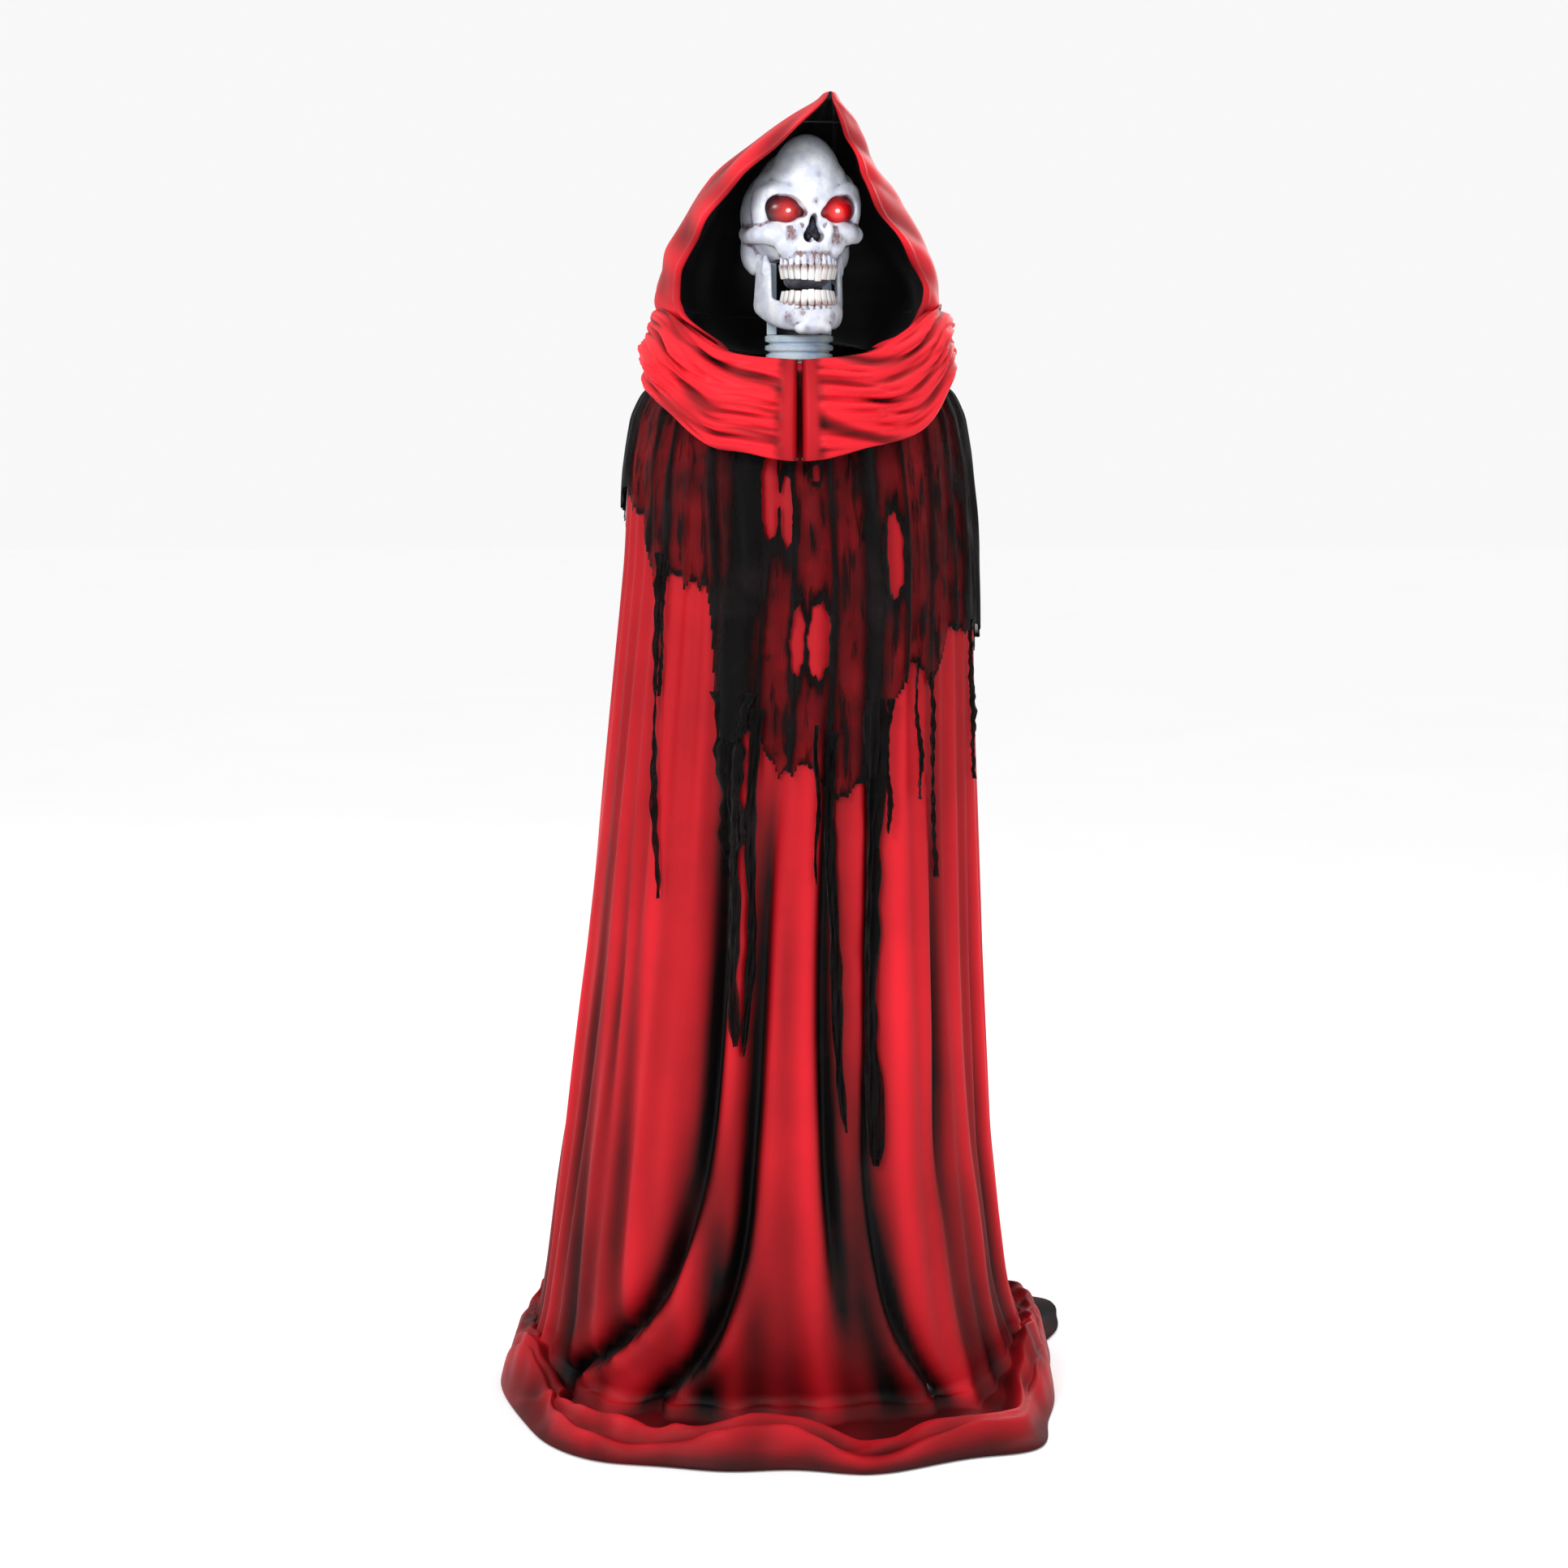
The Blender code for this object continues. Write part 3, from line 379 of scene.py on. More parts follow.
def eye_glow(name, centre, strength, dark):
    """A lit red lens: a pink spot in a red glow that dies to the dark rim."""
    made = Finish(name, (0.25, 0.0, 0.0), 0.30, coat_weight=0.25, coat_roughness=0.25)
    spot = made.place(shift=tuple(-value for value in centre))
    away = made.node("ShaderNodeVectorMath", {"operation": "LENGTH"}, {0: spot}, output="Value")
    cloud = made.noise(made.place(), 90.0, 3.0)
    reach = away + (cloud - 0.5) * 0.004
    glow = made.ramp(reach / 0.026, ((0.0, (1.0, 0.26, 0.24)), (0.16, (1.0, 0.050, 0.045)),
                                     (0.34, (0.70, 0.004, 0.005)), (0.62, (0.24, 0.001, 0.004)),
                                     (0.95, dark)))
    made.set("Emission Color", glow)
    made.set("Emission Strength", strength)
    made.set("Base Color", made.mix(reach.step(0.008, 0.022), (0.16, 0.0, 0.0), (0.012, 0.0, 0.001)))
    return made.material


def led_light():
    """The lamp behind each eye."""
    made = Finish("led_light", (0.9, 0.3, 0.3), 0.3)
    spark = made.noise(made.place(), 300.0)
    made.set("Emission Color", made.mix(spark, (1.0, 0.34, 0.32), (1.0, 0.60, 0.58)))
    made.set("Emission Strength", 1.1)
    return made.material


def milky():
    """Milky neck plastic with scuffs."""
    made = Finish("milky_plastic", roughness=0.3, subsurface_weight=0.25, specular_ior_level=0.5,
                  coat_weight=0.15)
    spot = made.place()
    cloud = made.noise(spot, 30.0, 4.0)
    flecks = made.cells(spot, 160.0).step(0.03, 0.10)
    base = made.mix(cloud.step(0.35, 0.7), (0.58, 0.70, 0.86), (0.84, 0.90, 0.97))
    made.set("Base Color", made.mix(flecks, (0.10, 0.12, 0.16), base))
    made.set("Roughness", 0.25 + 0.2 * cloud)
    return made.bump(made.noise(spot, 220.0), 0.0003, 0.4).material


def metal(name, colour, roughness):
    """Brushed metal with paler worn patches."""
    made = Finish(name, roughness=roughness, metallic=1.0)
    spot = made.place()
    brushed = made.noise(made.place(scale=(1, 1, 14)), 60.0, 3.0)
    worn = made.noise(spot, 35.0, 5.0).step(0.58, 0.75)
    light = tuple(min(1.0, value * 1.6 + 0.05) for value in colour)
    made.set("Base Color", made.mix(worn, colour, light))
    made.set("Roughness", roughness + 0.18 * (brushed - 0.5))
    return made.bump(brushed, 0.0002, 0.3).material


def powder_coat():
    """Black coating on the stand's tubes, with a few chips."""
    made = Finish("powder_coat", (0.02, 0.02, 0.021), 0.42, specular_ior_level=0.5)
    spot = made.place()
    chips = made.noise(spot, 42.0, 5.0).step(0.66, 0.72)
    made.set("Base Color", made.mix(chips, (0.018, 0.018, 0.02), (0.10, 0.10, 0.11)))
    made.set("Roughness", 0.36 + 0.2 * made.noise(spot, 90.0))
    return made.bump(made.noise(spot, 800.0, 2.0), 0.0002, 0.6).material


def moulded(name, colour, roughness, grain=700.0):
    """Plain moulded plastic, rubber or foam."""
    made = Finish(name, roughness=roughness)
    spot = made.place()
    cloud = made.noise(spot, 22.0, 3.0)
    deep = tuple(value * 0.72 for value in colour)
    made.set("Base Color", made.mix(cloud.step(0.3, 0.7), deep, colour))
    made.set("Roughness", roughness + 0.14 * (cloud - 0.5))
    return made.bump(made.noise(spot, grain, 2.0), 0.0003, 0.6).material


def circuit():
    """Green board with pale tracks."""
    made = Finish("circuit", roughness=0.4)
    spot = made.place()
    tracks = made.cells(spot, 170.0, "DISTANCE_TO_EDGE").step(0.04, 0.09)
    made.set("Base Color", made.mix(tracks, (0.30, 0.24, 0.08), (0.012, 0.12, 0.05)))
    return made.bump(tracks, 0.0003, 0.5).material


def floor_finish():
    """A pale floor, lit a little by itself so that it meets the background."""
    made = Finish("pale_floor", roughness=0.8, emission_strength=0.13, emission_color=(1, 1, 1, 1))
    spot = made.place()
    made.set("Base Color", made.mix(made.noise(spot, 2.0), (0.84, 0.84, 0.85), (0.88, 0.88, 0.885)))
    return made.material


RED_SATIN = satin("red_satin", (0.0008, 0.0001, 0.0002), (0.33, 0.0042, 0.0090), (0.76, 0.0125, 0.025))
# The train's red satin in much darker colours, as painted shade.
SHADED_SATIN = satin("shaded_red_satin", (0.001, 0.0001, 0.0002), (0.050, 0.0008, 0.0020), (0.34, 0.005, 0.010), 0.8)
BLACK_LINING = lining()
TORN_GAUZE = gauze()
BONE = bone()
ENAMEL = enamel()
SHADED_BONE = shaded_bone()


# ------------------------------------------------------------------ camera, light and floor

def build_stage():
    camera = bpy.data.objects.new("camera", bpy.data.cameras.new("camera"))
    camera.data.lens = CAMERA_LENS
    camera.data.sensor_width = 36.0
    camera.location = CAMERA_PLACE
    camera.rotation_euler = (math.radians(90 - CAMERA_DOWN), 0, 0)
    bpy.context.scene.collection.objects.link(camera)
    bpy.context.scene.camera = camera

    bpy.ops.mesh.primitive_plane_add(size=30, location=(0, 0, -0.0006))
    floor = bpy.context.active_object
    floor.name = "floor"
    floor.data.materials.append(floor_finish())

    world = bpy.data.worlds.new("studio")
    world.use_nodes = True
    background = world.node_tree.nodes["Background"]
    background.inputs["Color"].default_value = (1.0, 1.0, 1.0, 1)
    background.inputs["Strength"].default_value = 0.94
    bpy.context.scene.world = world
    bpy.context.scene.view_settings.view_transform = "Standard"
    for name, place, size, power, aim in (
            ("key", (-1.7, -2.6, 2.9), 0.9, 50, 1.1), ("fill", (2.4, -2.6, 1.4), 1.6, 6, 0.8),
            ("top", (0.2, 0.4, 3.6), 1.4, 20, 1.2), ("back", (1.2, 3.0, 2.2), 1.6, 34, 1.0)):
        lamp = bpy.data.objects.new(name, bpy.data.lights.new(name, "AREA"))
        lamp.data.size = size
        lamp.data.energy = power
        lamp.location = place
        lamp.rotation_euler = (Vector((0, 0, aim)) - Vector(place)).to_track_quat("-Z", "Y").to_euler()
        bpy.context.scene.collection.objects.link(lamp)


# ------------------------------------------------------------------ cloth surfaces

def smooth_table(table, key, width):
    """Columns of a table against its first, with its corners rounded over a width."""
    columns = []
    for column in range(1, table.shape[1]):
        total = 0.0
        for shift, weight in ((-1, 0.25), (-0.5, 0.25), (0.5, 0.25), (1, 0.25)):
            total = total + weight * np.interp(key + shift * width, table[:, 0], table[:, column])
        columns.append(total)
    return columns


def periodic(degrees, seed, count, low, high):
    """A seeded wave that closes on itself round the figure."""
    draw = random.Random(seed)
    angle = np.radians(degrees)
    total = 0.0
    for _ in range(count):
        wave = np.sin(angle * draw.randint(low, high) + draw.uniform(0, math.tau))
        total = total + math.sqrt(1 / count) * wave
    return total


def smooth_step(value, low, high):
    """0 below low, 1 above high, smooth between; low may be the larger of the two."""
    share = np.clip((value - low) / (high - low), 0, 1)
    return share * share * (3 - 2 * share)


def bell(value, width):
    """1 where the value is 0, dying away on both sides."""
    return np.exp(-(value / width) ** 2)


def rear_valleys():
    """Seeded valleys at an uneven spacing, round the sides and the back."""
    draw = random.Random(41)
    found = []
    angle = 9.0
    while angle < 196:
        found.append((angle, draw.uniform(-4, 4), draw.uniform(-14, 14), draw.choice((0.010, 0.016, 0.030)),
                      draw.uniform(0.85, 1.18), draw.choice((0.0, 0.0, 0.25)), draw.uniform(0.012, 0.020)))
        angle += draw.uniform(10, 18)
    return found


ALL_VALLEYS = list(VALLEYS) + rear_valleys()


def angle_gap(degrees, centre):
    """How far round from the centre, the short way, in degrees."""
    return (degrees - centre + 180) % 360 - 180


def fold_shift(degrees, height):
    """How far the folds move the robe out, how far round in degrees, and the painted light and shade on its
    folds.
    """
    out = np.zeros_like(height)
    turn = np.zeros_like(height)
    crest = np.full_like(height, 0.56)
    radius = 0.28                 # the robe's mean radius, to turn angles into lengths
    for top, drift, sweep, depth, start, end, width in ALL_VALLEYS:
        # Each valley has two soft shoulders, and gathers the cloth beside it towards its middle. Its middle
        # gets painted shade, and its shoulders a painted highlight.
        fall = np.clip((start - height) / start, 0, 1)
        fade = 0.30 if depth > 0.018 else 0.65
        strength = smooth_step(fall, 0.0, fade) * (0.45 + 0.55 * fall)
        strength = strength * smooth_step(height, end - 0.02, end + 0.30) if end else strength
        settle = 0.30 + 0.70 * smooth_step(height, 0.0, 0.13)
        middle = top + drift * fall + sweep * fall ** 8 + 0.7 * np.sin(height * 6 + top)
        gap = np.radians(angle_gap(degrees, middle)) * radius
        lean = gap * (1 + 0.35 * np.tanh(gap / width) * (1 if sweep < 0 else -1))
        narrow = bell(lean, width)
        wide = bell(lean, width * 2.6)
        out -= depth * strength * settle * (0.70 * narrow + 0.42 * wide)
        shoulder = bell(np.abs(lean) - width * 2.3, width * 1.5)
        out += depth * 0.24 * strength * shoulder
        turn -= np.degrees(gap / radius) * 0.42 * strength * wide * min(1.0, depth / 0.02)
        dark = 0.30 + 1.1 * float(smooth_step(depth, 0.006, 0.030))
        crest -= strength * (0.74 * narrow + 0.14 * wide) * dark
        crest += strength * 0.22 * shoulder * min(1.0, depth / 0.016)
    # Soft ripples that grow on the way down, finer ones that fade out over the shoulders, and floor puckers,
    # with painted light and shade on the soft ripples and the puckers.
    ripple = np.radians(degrees)
    low = smooth_step(1.25 - height, 0.05, 0.8)
    soft = 0.0020 * np.sin(ripple * 19 + 2.6 * np.sin(height * 2.1) + 3 * np.sin(ripple * 3))
    soft += 0.0013 * np.sin(ripple * 43 + 3.1 * np.sin(height * 1.7) + 4 * np.sin(ripple * 2))
    out += soft * low
    below_yoke = smooth_step(height, 1.36, 1.1)
    out += 0.0022 * np.sin(ripple * 47 + 1.7 * np.sin(height * 3.3 + ripple * 2)) * below_yoke
    # Broad painted bands of light and shade also run round the robe.
    crest += soft * low * 60 + 0.10 * np.sin(ripple * 9 + 1.5 * np.sin(height * 2.5) + 2) * low
    pucker = periodic(degrees + 60 * height, 31, 7, 9, 34) * bell(height, 0.055)
    out += 0.0045 * pucker
    # Painted shade makes the robe darker towards the bottom.
    crest += 0.16 * pucker - 0.28 * smooth_step(0.60 - height, 0.0, 0.60)
    return out, turn, np.clip(crest, 0, 1)


def robe_surface(degrees, height, off=0.0):
    """Points of the robe at angles and heights, moved off its surface, and the painted light and shade at
    each.
    """
    centre, half, front, back = smooth_table(ROBE_FORM, height, 0.016)
    out, turn, crest = fold_shift(degrees, height)
    angle = np.radians(degrees + turn)
    share = smooth_step(np.sin(angle), -0.25, 0.25)
    depth = front + (back - front) * share
    x = centre + (half + out + off) * np.cos(angle)
    y = (depth + out + off) * np.sin(angle)
    return np.stack((x, y, height + 0 * x), axis=-1), crest


def sheet_object(name, points, crest=None, around=True, keep=None, uv=None, marks=None):
    """A mesh from rows and columns of points; the painted light and shade and the marks become point
    attributes.
    """
    rows, columns = points.shape[:2]
    index = np.arange(rows * columns).reshape(rows, columns)
    right = np.roll(index, -1, axis=1) if around else index[:, 1:]
    left = index if around else index[:, :-1]
    faces = np.stack((left[:-1], right[:-1], right[1:], left[1:]), axis=-1).reshape(-1, 4)
    if keep is not None:
        flat = keep.reshape(-1)
        faces = faces[flat[faces].all(axis=1)]
    used = np.unique(faces)
    renumber = np.full(rows * columns, -1)
    renumber[used] = np.arange(len(used))
    mesh = bpy.data.meshes.new(name)
    mesh.from_pydata(points.reshape(-1, 3)[used].tolist(), [], renumber[faces].tolist())
    for key, values in {"crest": crest, **(marks or {})}.items():
        if values is not None:
            layer = mesh.attributes.new(key, "FLOAT", "POINT")
            layer.data.foreach_set("value", np.broadcast_to(values, (rows, columns)).reshape(-1)[used]
                                   .astype(np.float32))
    if uv is not None:
        corners = np.zeros(len(mesh.loops), np.int32)
        mesh.loops.foreach_get("vertex_index", corners)
        flat_uv = uv.reshape(-1, 2)[used][corners]
        mesh.uv_layers.new(name="cloth").data.foreach_set("uv", flat_uv.reshape(-1).astype(np.float32))
    mesh.shade_smooth()
    item = bpy.data.objects.new(name, mesh)
    bpy.context.scene.collection.objects.link(item)
    return item


def thicken(item, thickness, inner=0):
    """Gives a sheet its thickness, inwards; inner is the slot of the material on its inside and its edge."""
    wall = item.modifiers.new("wall", "SOLIDIFY")
    wall.thickness = thickness
    wall.offset = -1.0
    wall.material_offset = inner
    wall.material_offset_rim = inner
    apply_modifiers(item)


def build_robe():
    """The skirt down to the floor, the flat cloth round it and the rolled hem, in one sheet."""
    columns = np.linspace(-180, 180, SKIRT_COLUMNS, endpoint=False)
    angle = np.radians(columns)
    front = smooth_step(-np.sin(angle), 0.30, 0.82)

    # The skirt, down to a foot that is lower in front.
    share = np.linspace(0, 1, SKIRT_ROWS)[:, None]
    lowest = 0.018 * front + 0.066 * (1 - front) + 0.004 * periodic(columns, 15, 4, 2, 6)
    heights = ROBE_TOP - (ROBE_TOP - lowest[None, :]) * (0.35 * share ** 2 + 0.65 * share)
    degrees = columns[None, :] + 0 * heights
    skirt, crest = robe_surface(degrees, heights)

    # The rim on the floor, squarer in front, with a corner at the front right and a slighter one at the left.
    last, last_painted_light = skirt[-1], crest[-1]
    rows, painted_lights = [], []
    power = np.where(np.sin(angle) < 0, 2.7, 2.0)
    square = (np.abs(np.cos(angle)) ** power + np.abs(np.sin(angle)) ** power) ** (-1 / power)
    square = square * (1 + 0.085 * bell(columns + 42, 8) + 0.015 * bell(columns + 138, 9))
    rim_x = RIM_MIDDLE + (RIM_HALF + 0.0085 * periodic(columns, 7, 6, 3, 14)) * square * np.cos(angle)
    depth = np.where(np.sin(angle) < 0, RIM_FRONT, RIM_BACK)
    rim_y = (depth + 0.0075 * periodic(columns, 8, 6, 3, 14)) * square * np.sin(angle)

    # From the skirt's foot out to the rim: flat cloth, then a roll of two thick strands and a thin one.
    swell = np.clip(1 + 0.42 * periodic(columns, 9, 5, 3, 11), 0.40, 1.45)
    tall = (0.034 * front + 0.018 * (1 - front)) * swell
    start = 0.50 * front + 0.05 * periodic(columns, 10, 4, 2, 6)
    first = 0.36 + 0.20 * periodic(columns, 11, 3, 2, 7)
    second = 0.70 + 0.15 * periodic(columns, 12, 3, 3, 8)
    for step in range(1, POOL_ROWS + 1):
        t = step / POOL_ROWS * RIM_TURN
        reach = np.minimum(t, 1.0) - np.maximum(t - 1.0, 0) * 0.9
        x = last[:, 0] + (rim_x - last[:, 0]) * reach
        y = last[:, 1] + (rim_y - last[:, 1]) * reach
        roll = np.clip((t - start) / (1.0 - start), 0, 1)
        body = np.sin(np.pi * roll ** 0.8) ** 0.55
        upper = bell(roll - first, 0.17)
        outer = bell(roll - second, 0.15)
        small = bell(roll - 0.5 - 0.3 * periodic(columns, 16, 3, 3, 7), 0.06)
        strand = 0.62 * np.maximum(upper, outer) + 0.14 * small
        crease = 0.0042 * periodic(columns + 24 * t, 13, 6, 9, 30) * (1 - np.abs(2 * roll - 1)) ** 0.6
        flat = 0.005 + 0.0025 * periodic(columns + 20 * t, 14, 6, 8, 30)
        z = np.maximum(flat * (1 - roll ** 2), last[:, 2] * (1 - front) * (1 - min(t, 1.0) ** 2.2))
        z = z + tall * body * (0.42 + strand) + crease
        if t > 1.0:
            z = 0.0015 + 0 * z
        z = z + last[:, 2] * front * max(0.0, 1 - 8 * t)
        rows.append(np.stack((x, y, np.maximum(z, 0.0012)), axis=-1))
        # The pool is painted: painted shade in the recess behind the roll, painted highlights on its strands
        # and creases, painted shade towards its outer edge, and at the sides the skirt's painted light
        # carried out onto the roll.
        recess = 0.10 + 0.12 * smooth_step(np.abs(periodic(columns, 17, 5, 5, 16)), 0.2, 1.2)
        lit = recess + (0.62 * (0.05 + strand) + 34 * crease) * smooth_step(roll, 0.0, 0.22)
        lit = lit * (1 - 0.60 * smooth_step(roll, 0.80, 1.0))
        lit = lit * front + (1 - front) * np.clip(last_painted_light * (1 - roll) + 0.5 * roll * (0.5 + strand), 0, 1)
        painted_lights.append(np.clip(lit + (last_painted_light - lit) * max(0.0, 1 - 6 * t), 0, 1))
    points = np.concatenate((skirt, np.array(rows)), axis=0)
    crest = np.concatenate((crest, np.array(painted_lights)), axis=0)
    points, crest = points[::-1], crest[::-1]
    robe = sheet_object("robe_cloth", points, crest)
    robe.data.materials.append(RED_SATIN)
    thicken(robe, SATIN_CLOTH)
    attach(robe, "stand")
    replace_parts(robe, "robe")


# ------------------------------------------------------------------ modelling from listed shapes

def begin():
    """The objects there are now, so that what is added after can be collected."""
    bpy.ops.object.select_all(action="DESELECT")
    return set(bpy.context.scene.objects)


def lump(place, radii, lean=(0, 0, 0), rings=20):
    """A ball stretched to its three radii, leaned in degrees."""
    bpy.ops.mesh.primitive_uv_sphere_add(segments=rings * 2, ring_count=rings, radius=1, location=place,
                                         rotation=[math.radians(value) for value in lean])
    bpy.context.active_object.scale = radii
    return bpy.context.active_object


def pair(place, radii, lean=(0, 0, 0)):
    """The same lump on both sides of the face."""
    x, y, z = place
    lump(place, radii, lean)
    lump((-x, y, z), radii, (lean[0], -lean[1], -lean[2]))


def chain(points, count=10):
    """Balls along a path of places with radii, on both sides of the face."""
    table = np.array(points, float)
    for share in np.linspace(0, len(table) - 1, count):
        x, y, z, radius = [np.interp(share, range(len(table)), table[:, i]) for i in range(4)]
        pair((x, y, z), (radius, radius, radius))


def gather(before, name):
    """Everything added since, joined into one object with its place in its mesh."""
    added = [item for item in bpy.context.scene.objects if item not in before]
    select_only(*added)
    bpy.ops.object.join()
    bpy.ops.object.transform_apply(location=True, rotation=True, scale=True)
    bpy.context.active_object.name = name
    return bpy.context.active_object


def remesh(item, voxel, smooth, factor=0.5):
    """One closed skin over all that the object holds, eased by so many smoothing passes."""
    step = item.modifiers.new("remesh", "REMESH")
    step.mode = "VOXEL"
    step.voxel_size = voxel
    soften = item.modifiers.new("soften", "SMOOTH")
    soften.factor = factor
    soften.iterations = smooth
    apply_modifiers(item)


def carve(item, cutter, operation="DIFFERENCE"):
    """Cuts one closed shape with another, which is used up."""
    step = item.modifiers.new("carve", "BOOLEAN")
    step.operation = operation
    step.solver = "MANIFOLD"
    step.object = cutter
    apply_modifiers(item)
    bpy.data.objects.remove(cutter)


def hollow_note(item):
    """Writes how far each point lies in a hollow, for the brown wash and the painted shade there."""
    mesh = item.data
    count = len(mesh.vertices)
    place = np.empty(count * 3)
    mesh.vertices.foreach_get("co", place)
    place = place.reshape(-1, 3)
    normal = np.empty(count * 3)
    mesh.vertex_normals.foreach_get("vector", normal)
    normal = normal.reshape(-1, 3)
    edges = np.empty(len(mesh.edges) * 2, np.int64)
    mesh.edges.foreach_get("vertices", edges)
    edges = edges.reshape(-1, 2)
    degree = np.bincount(edges.reshape(-1), minlength=count).reshape(-1, 1)
    eased = place.copy()
    level = {}
    # The places are evened out over and over, and a point lies in a hollow as far as that lifts it.
    for turn in range(1, BROAD_PASSES + 1):
        total = np.zeros_like(eased)
        for axis in range(3):
            total[:, axis] = (np.bincount(edges[:, 0], eased[edges[:, 1], axis], count)
                              + np.bincount(edges[:, 1], eased[edges[:, 0], axis], count))
        eased = total / np.maximum(degree, 1)
        if turn in (FINE_PASSES, BROAD_PASSES):
            level[turn] = ((eased - place) * normal).sum(axis=1)
    depth = 0.50 * np.clip(level[FINE_PASSES] / FINE_DIP, 0, 1)
    depth = depth + 0.50 * np.clip(level[BROAD_PASSES] / BROAD_DIP, 0, 1)
    for x, y, z, size, amount in WASH_AND_SHADE_PATCHES:
        away = ((place - (x, y, z)) ** 2).sum(axis=1)
        depth = depth + amount * np.exp(-away / size ** 2)
    layer = mesh.attributes.new("hollow", "FLOAT", "POINT")
    layer.data.foreach_set("value", np.clip(depth, 0, 1).astype(np.float32))


def turn_head(item):
    """From the head's own frame, which looks along -Y, into the figure's."""
    item.data.transform(HEAD_PLACE)
    return item


def arch_place(share, half_width, front, back):
    """A place on the dental arch and the way it faces in degrees; share runs from -1, its left end, to 1."""
    angle = share * math.pi / 2 * 0.94
    x = half_width * math.sin(angle)
    y = back + (front - back) * math.cos(angle)
    facing = math.atan2(-(front - back) * math.sin(angle), half_width * math.cos(angle))
    return x, y, math.degrees(facing)


# ------------------------------------------------------------------ skull

# Creases and broad hollows: the smoothing passes that show them, and how deep they are when the wash and the
# painted shade are full.
FINE_PASSES, FINE_DIP = 5, 0.00022
BROAD_PASSES, BROAD_DIP = 28, 0.0016

# Patches of brown wash and painted shade: place in the head's frame, size, and how strong.
WASH_AND_SHADE_PATCHES = (
    (-0.028, -0.072, 1.506, 0.009, 0.75), (0.029, -0.070, 1.501, 0.010, 0.85),
    (0.000, -0.080, 1.549, 0.006, 0.6), (0.004, -0.085, 1.582, 0.006, 0.42),
    (-0.004, -0.086, 1.592, 0.004, 0.35), (-0.030, -0.066, 1.402, 0.010, 0.55),
    (0.024, -0.072, 1.405, 0.008, 0.45), (0.000, -0.080, 1.480, 0.013, 0.40),
    (0.045, -0.062, 1.509, 0.008, 0.35), (-0.050, -0.058, 1.512, 0.007, 0.25),
    (-0.010, -0.083, 1.389, 0.006, 0.40), (-0.070, 0.000, 1.520, 0.020, 0.25),
    (-0.016, -0.080, 1.412, 0.010, 0.35), (0.055, -0.055, 1.566, 0.006, 0.35),
    (-0.036, -0.078, 1.574, 0.006, 0.30))

SKULL_SPLIT = 0.030               # where the two halves of the skull meet, from the head's axis
SPLIT_GAP = 0.0005
UPPER = {"count": 12, "half_width": 0.0345, "front": -0.0790, "back": -0.0380, "gum": 1.4665, "tip": 1.4500}
LOWER = {"count": 12, "half_width": 0.0335, "front": -0.0780, "back": -0.0370, "gum": 1.4215, "tip": 1.4378}


def tooth_shares(count):
    """The middles of so many teeth along the arch, from -1 to 1."""
    return [(i + 0.5) / count * 2 - 1 for i in range(count)]


def teeth(name, row, seed):
    """A row of moulded crowns, each its own copy, a little different and a little crooked."""
    draw = random.Random(seed)
    before = begin()
    down = -1 if row["tip"] < row["gum"] else 1
    crown = abs(row["tip"] - row["gum"])
    for share in tooth_shares(row["count"]):
        x, y, facing = arch_place(share, row["half_width"], row["front"], row["back"])
        wide = 0.0044 * (1.12 - 0.30 * abs(share)) * draw.uniform(0.93, 1.05)
        tall = crown * (1 - 0.16 * abs(share)) * draw.uniform(0.93, 1.04)
        bpy.ops.mesh.primitive_cube_add(size=1, location=(0, 0, 0))
        tooth = bpy.context.active_object
        bpy.ops.object.mode_set(mode="EDIT")
        bpy.ops.mesh.select_all(action="SELECT")
        bpy.ops.mesh.subdivide(number_cuts=3)
        bpy.ops.transform.resize(value=(wide * 2.06, 0.0094, tall * 1.28))
        bpy.ops.object.mode_set(mode="OBJECT")
        for corner in tooth.data.vertices:
            reach = min(max(corner.co.z / (tall * 1.25) + 0.5, 0.0), 1.0)
            from_gum = reach if down > 0 else 1 - reach
            corner.co.x *= 1 - 0.34 * (1 - from_gum) ** 2 - 0.16 * from_gum ** 4
            corner.co.y *= 1 - 0.45 * from_gum - 0.20 * (corner.co.x / wide) ** 2
        shape = tooth.modifiers.new("round", "SUBSURF")
        shape.levels = shape.render_levels = 2
        apply_modifiers(tooth)
        tooth.rotation_euler = (math.radians(-6 * down), math.radians(draw.uniform(-3, 3)),
                                math.radians(facing + draw.uniform(-4, 4)))
        tooth.location = (x, y, row["gum"] + down * tall * 0.44 + draw.uniform(-0.0004, 0.0004))
    made = gather(before, name)
    heights = np.array([corner.co.z for corner in made.data.vertices])
    share = 1 - np.clip((heights - row["gum"]) * down / crown, 0, 1)
    layer = made.data.attributes.new("gum", "FLOAT", "POINT")
    layer.data.foreach_set("value", share.astype(np.float32))
    dress(made, ENAMEL)
    return turn_head(made)


def roots(row, length, lean):
    """Ridges in the bone over the tooth roots."""
    down = -1 if row["tip"] < row["gum"] else 1
    for share in tooth_shares(row["count"]):
        x, y, facing = arch_place(share, row["half_width"] * 0.965, row["front"] * 0.972, row["back"])
        out = math.radians(facing)
        lump((x + 0.0012 * math.sin(out), y - 0.0012 * math.cos(out), row["gum"] - down * length * 0.48),
             (0.0036, 0.0036, length * 0.62), (lean * down, 0, facing), 10)


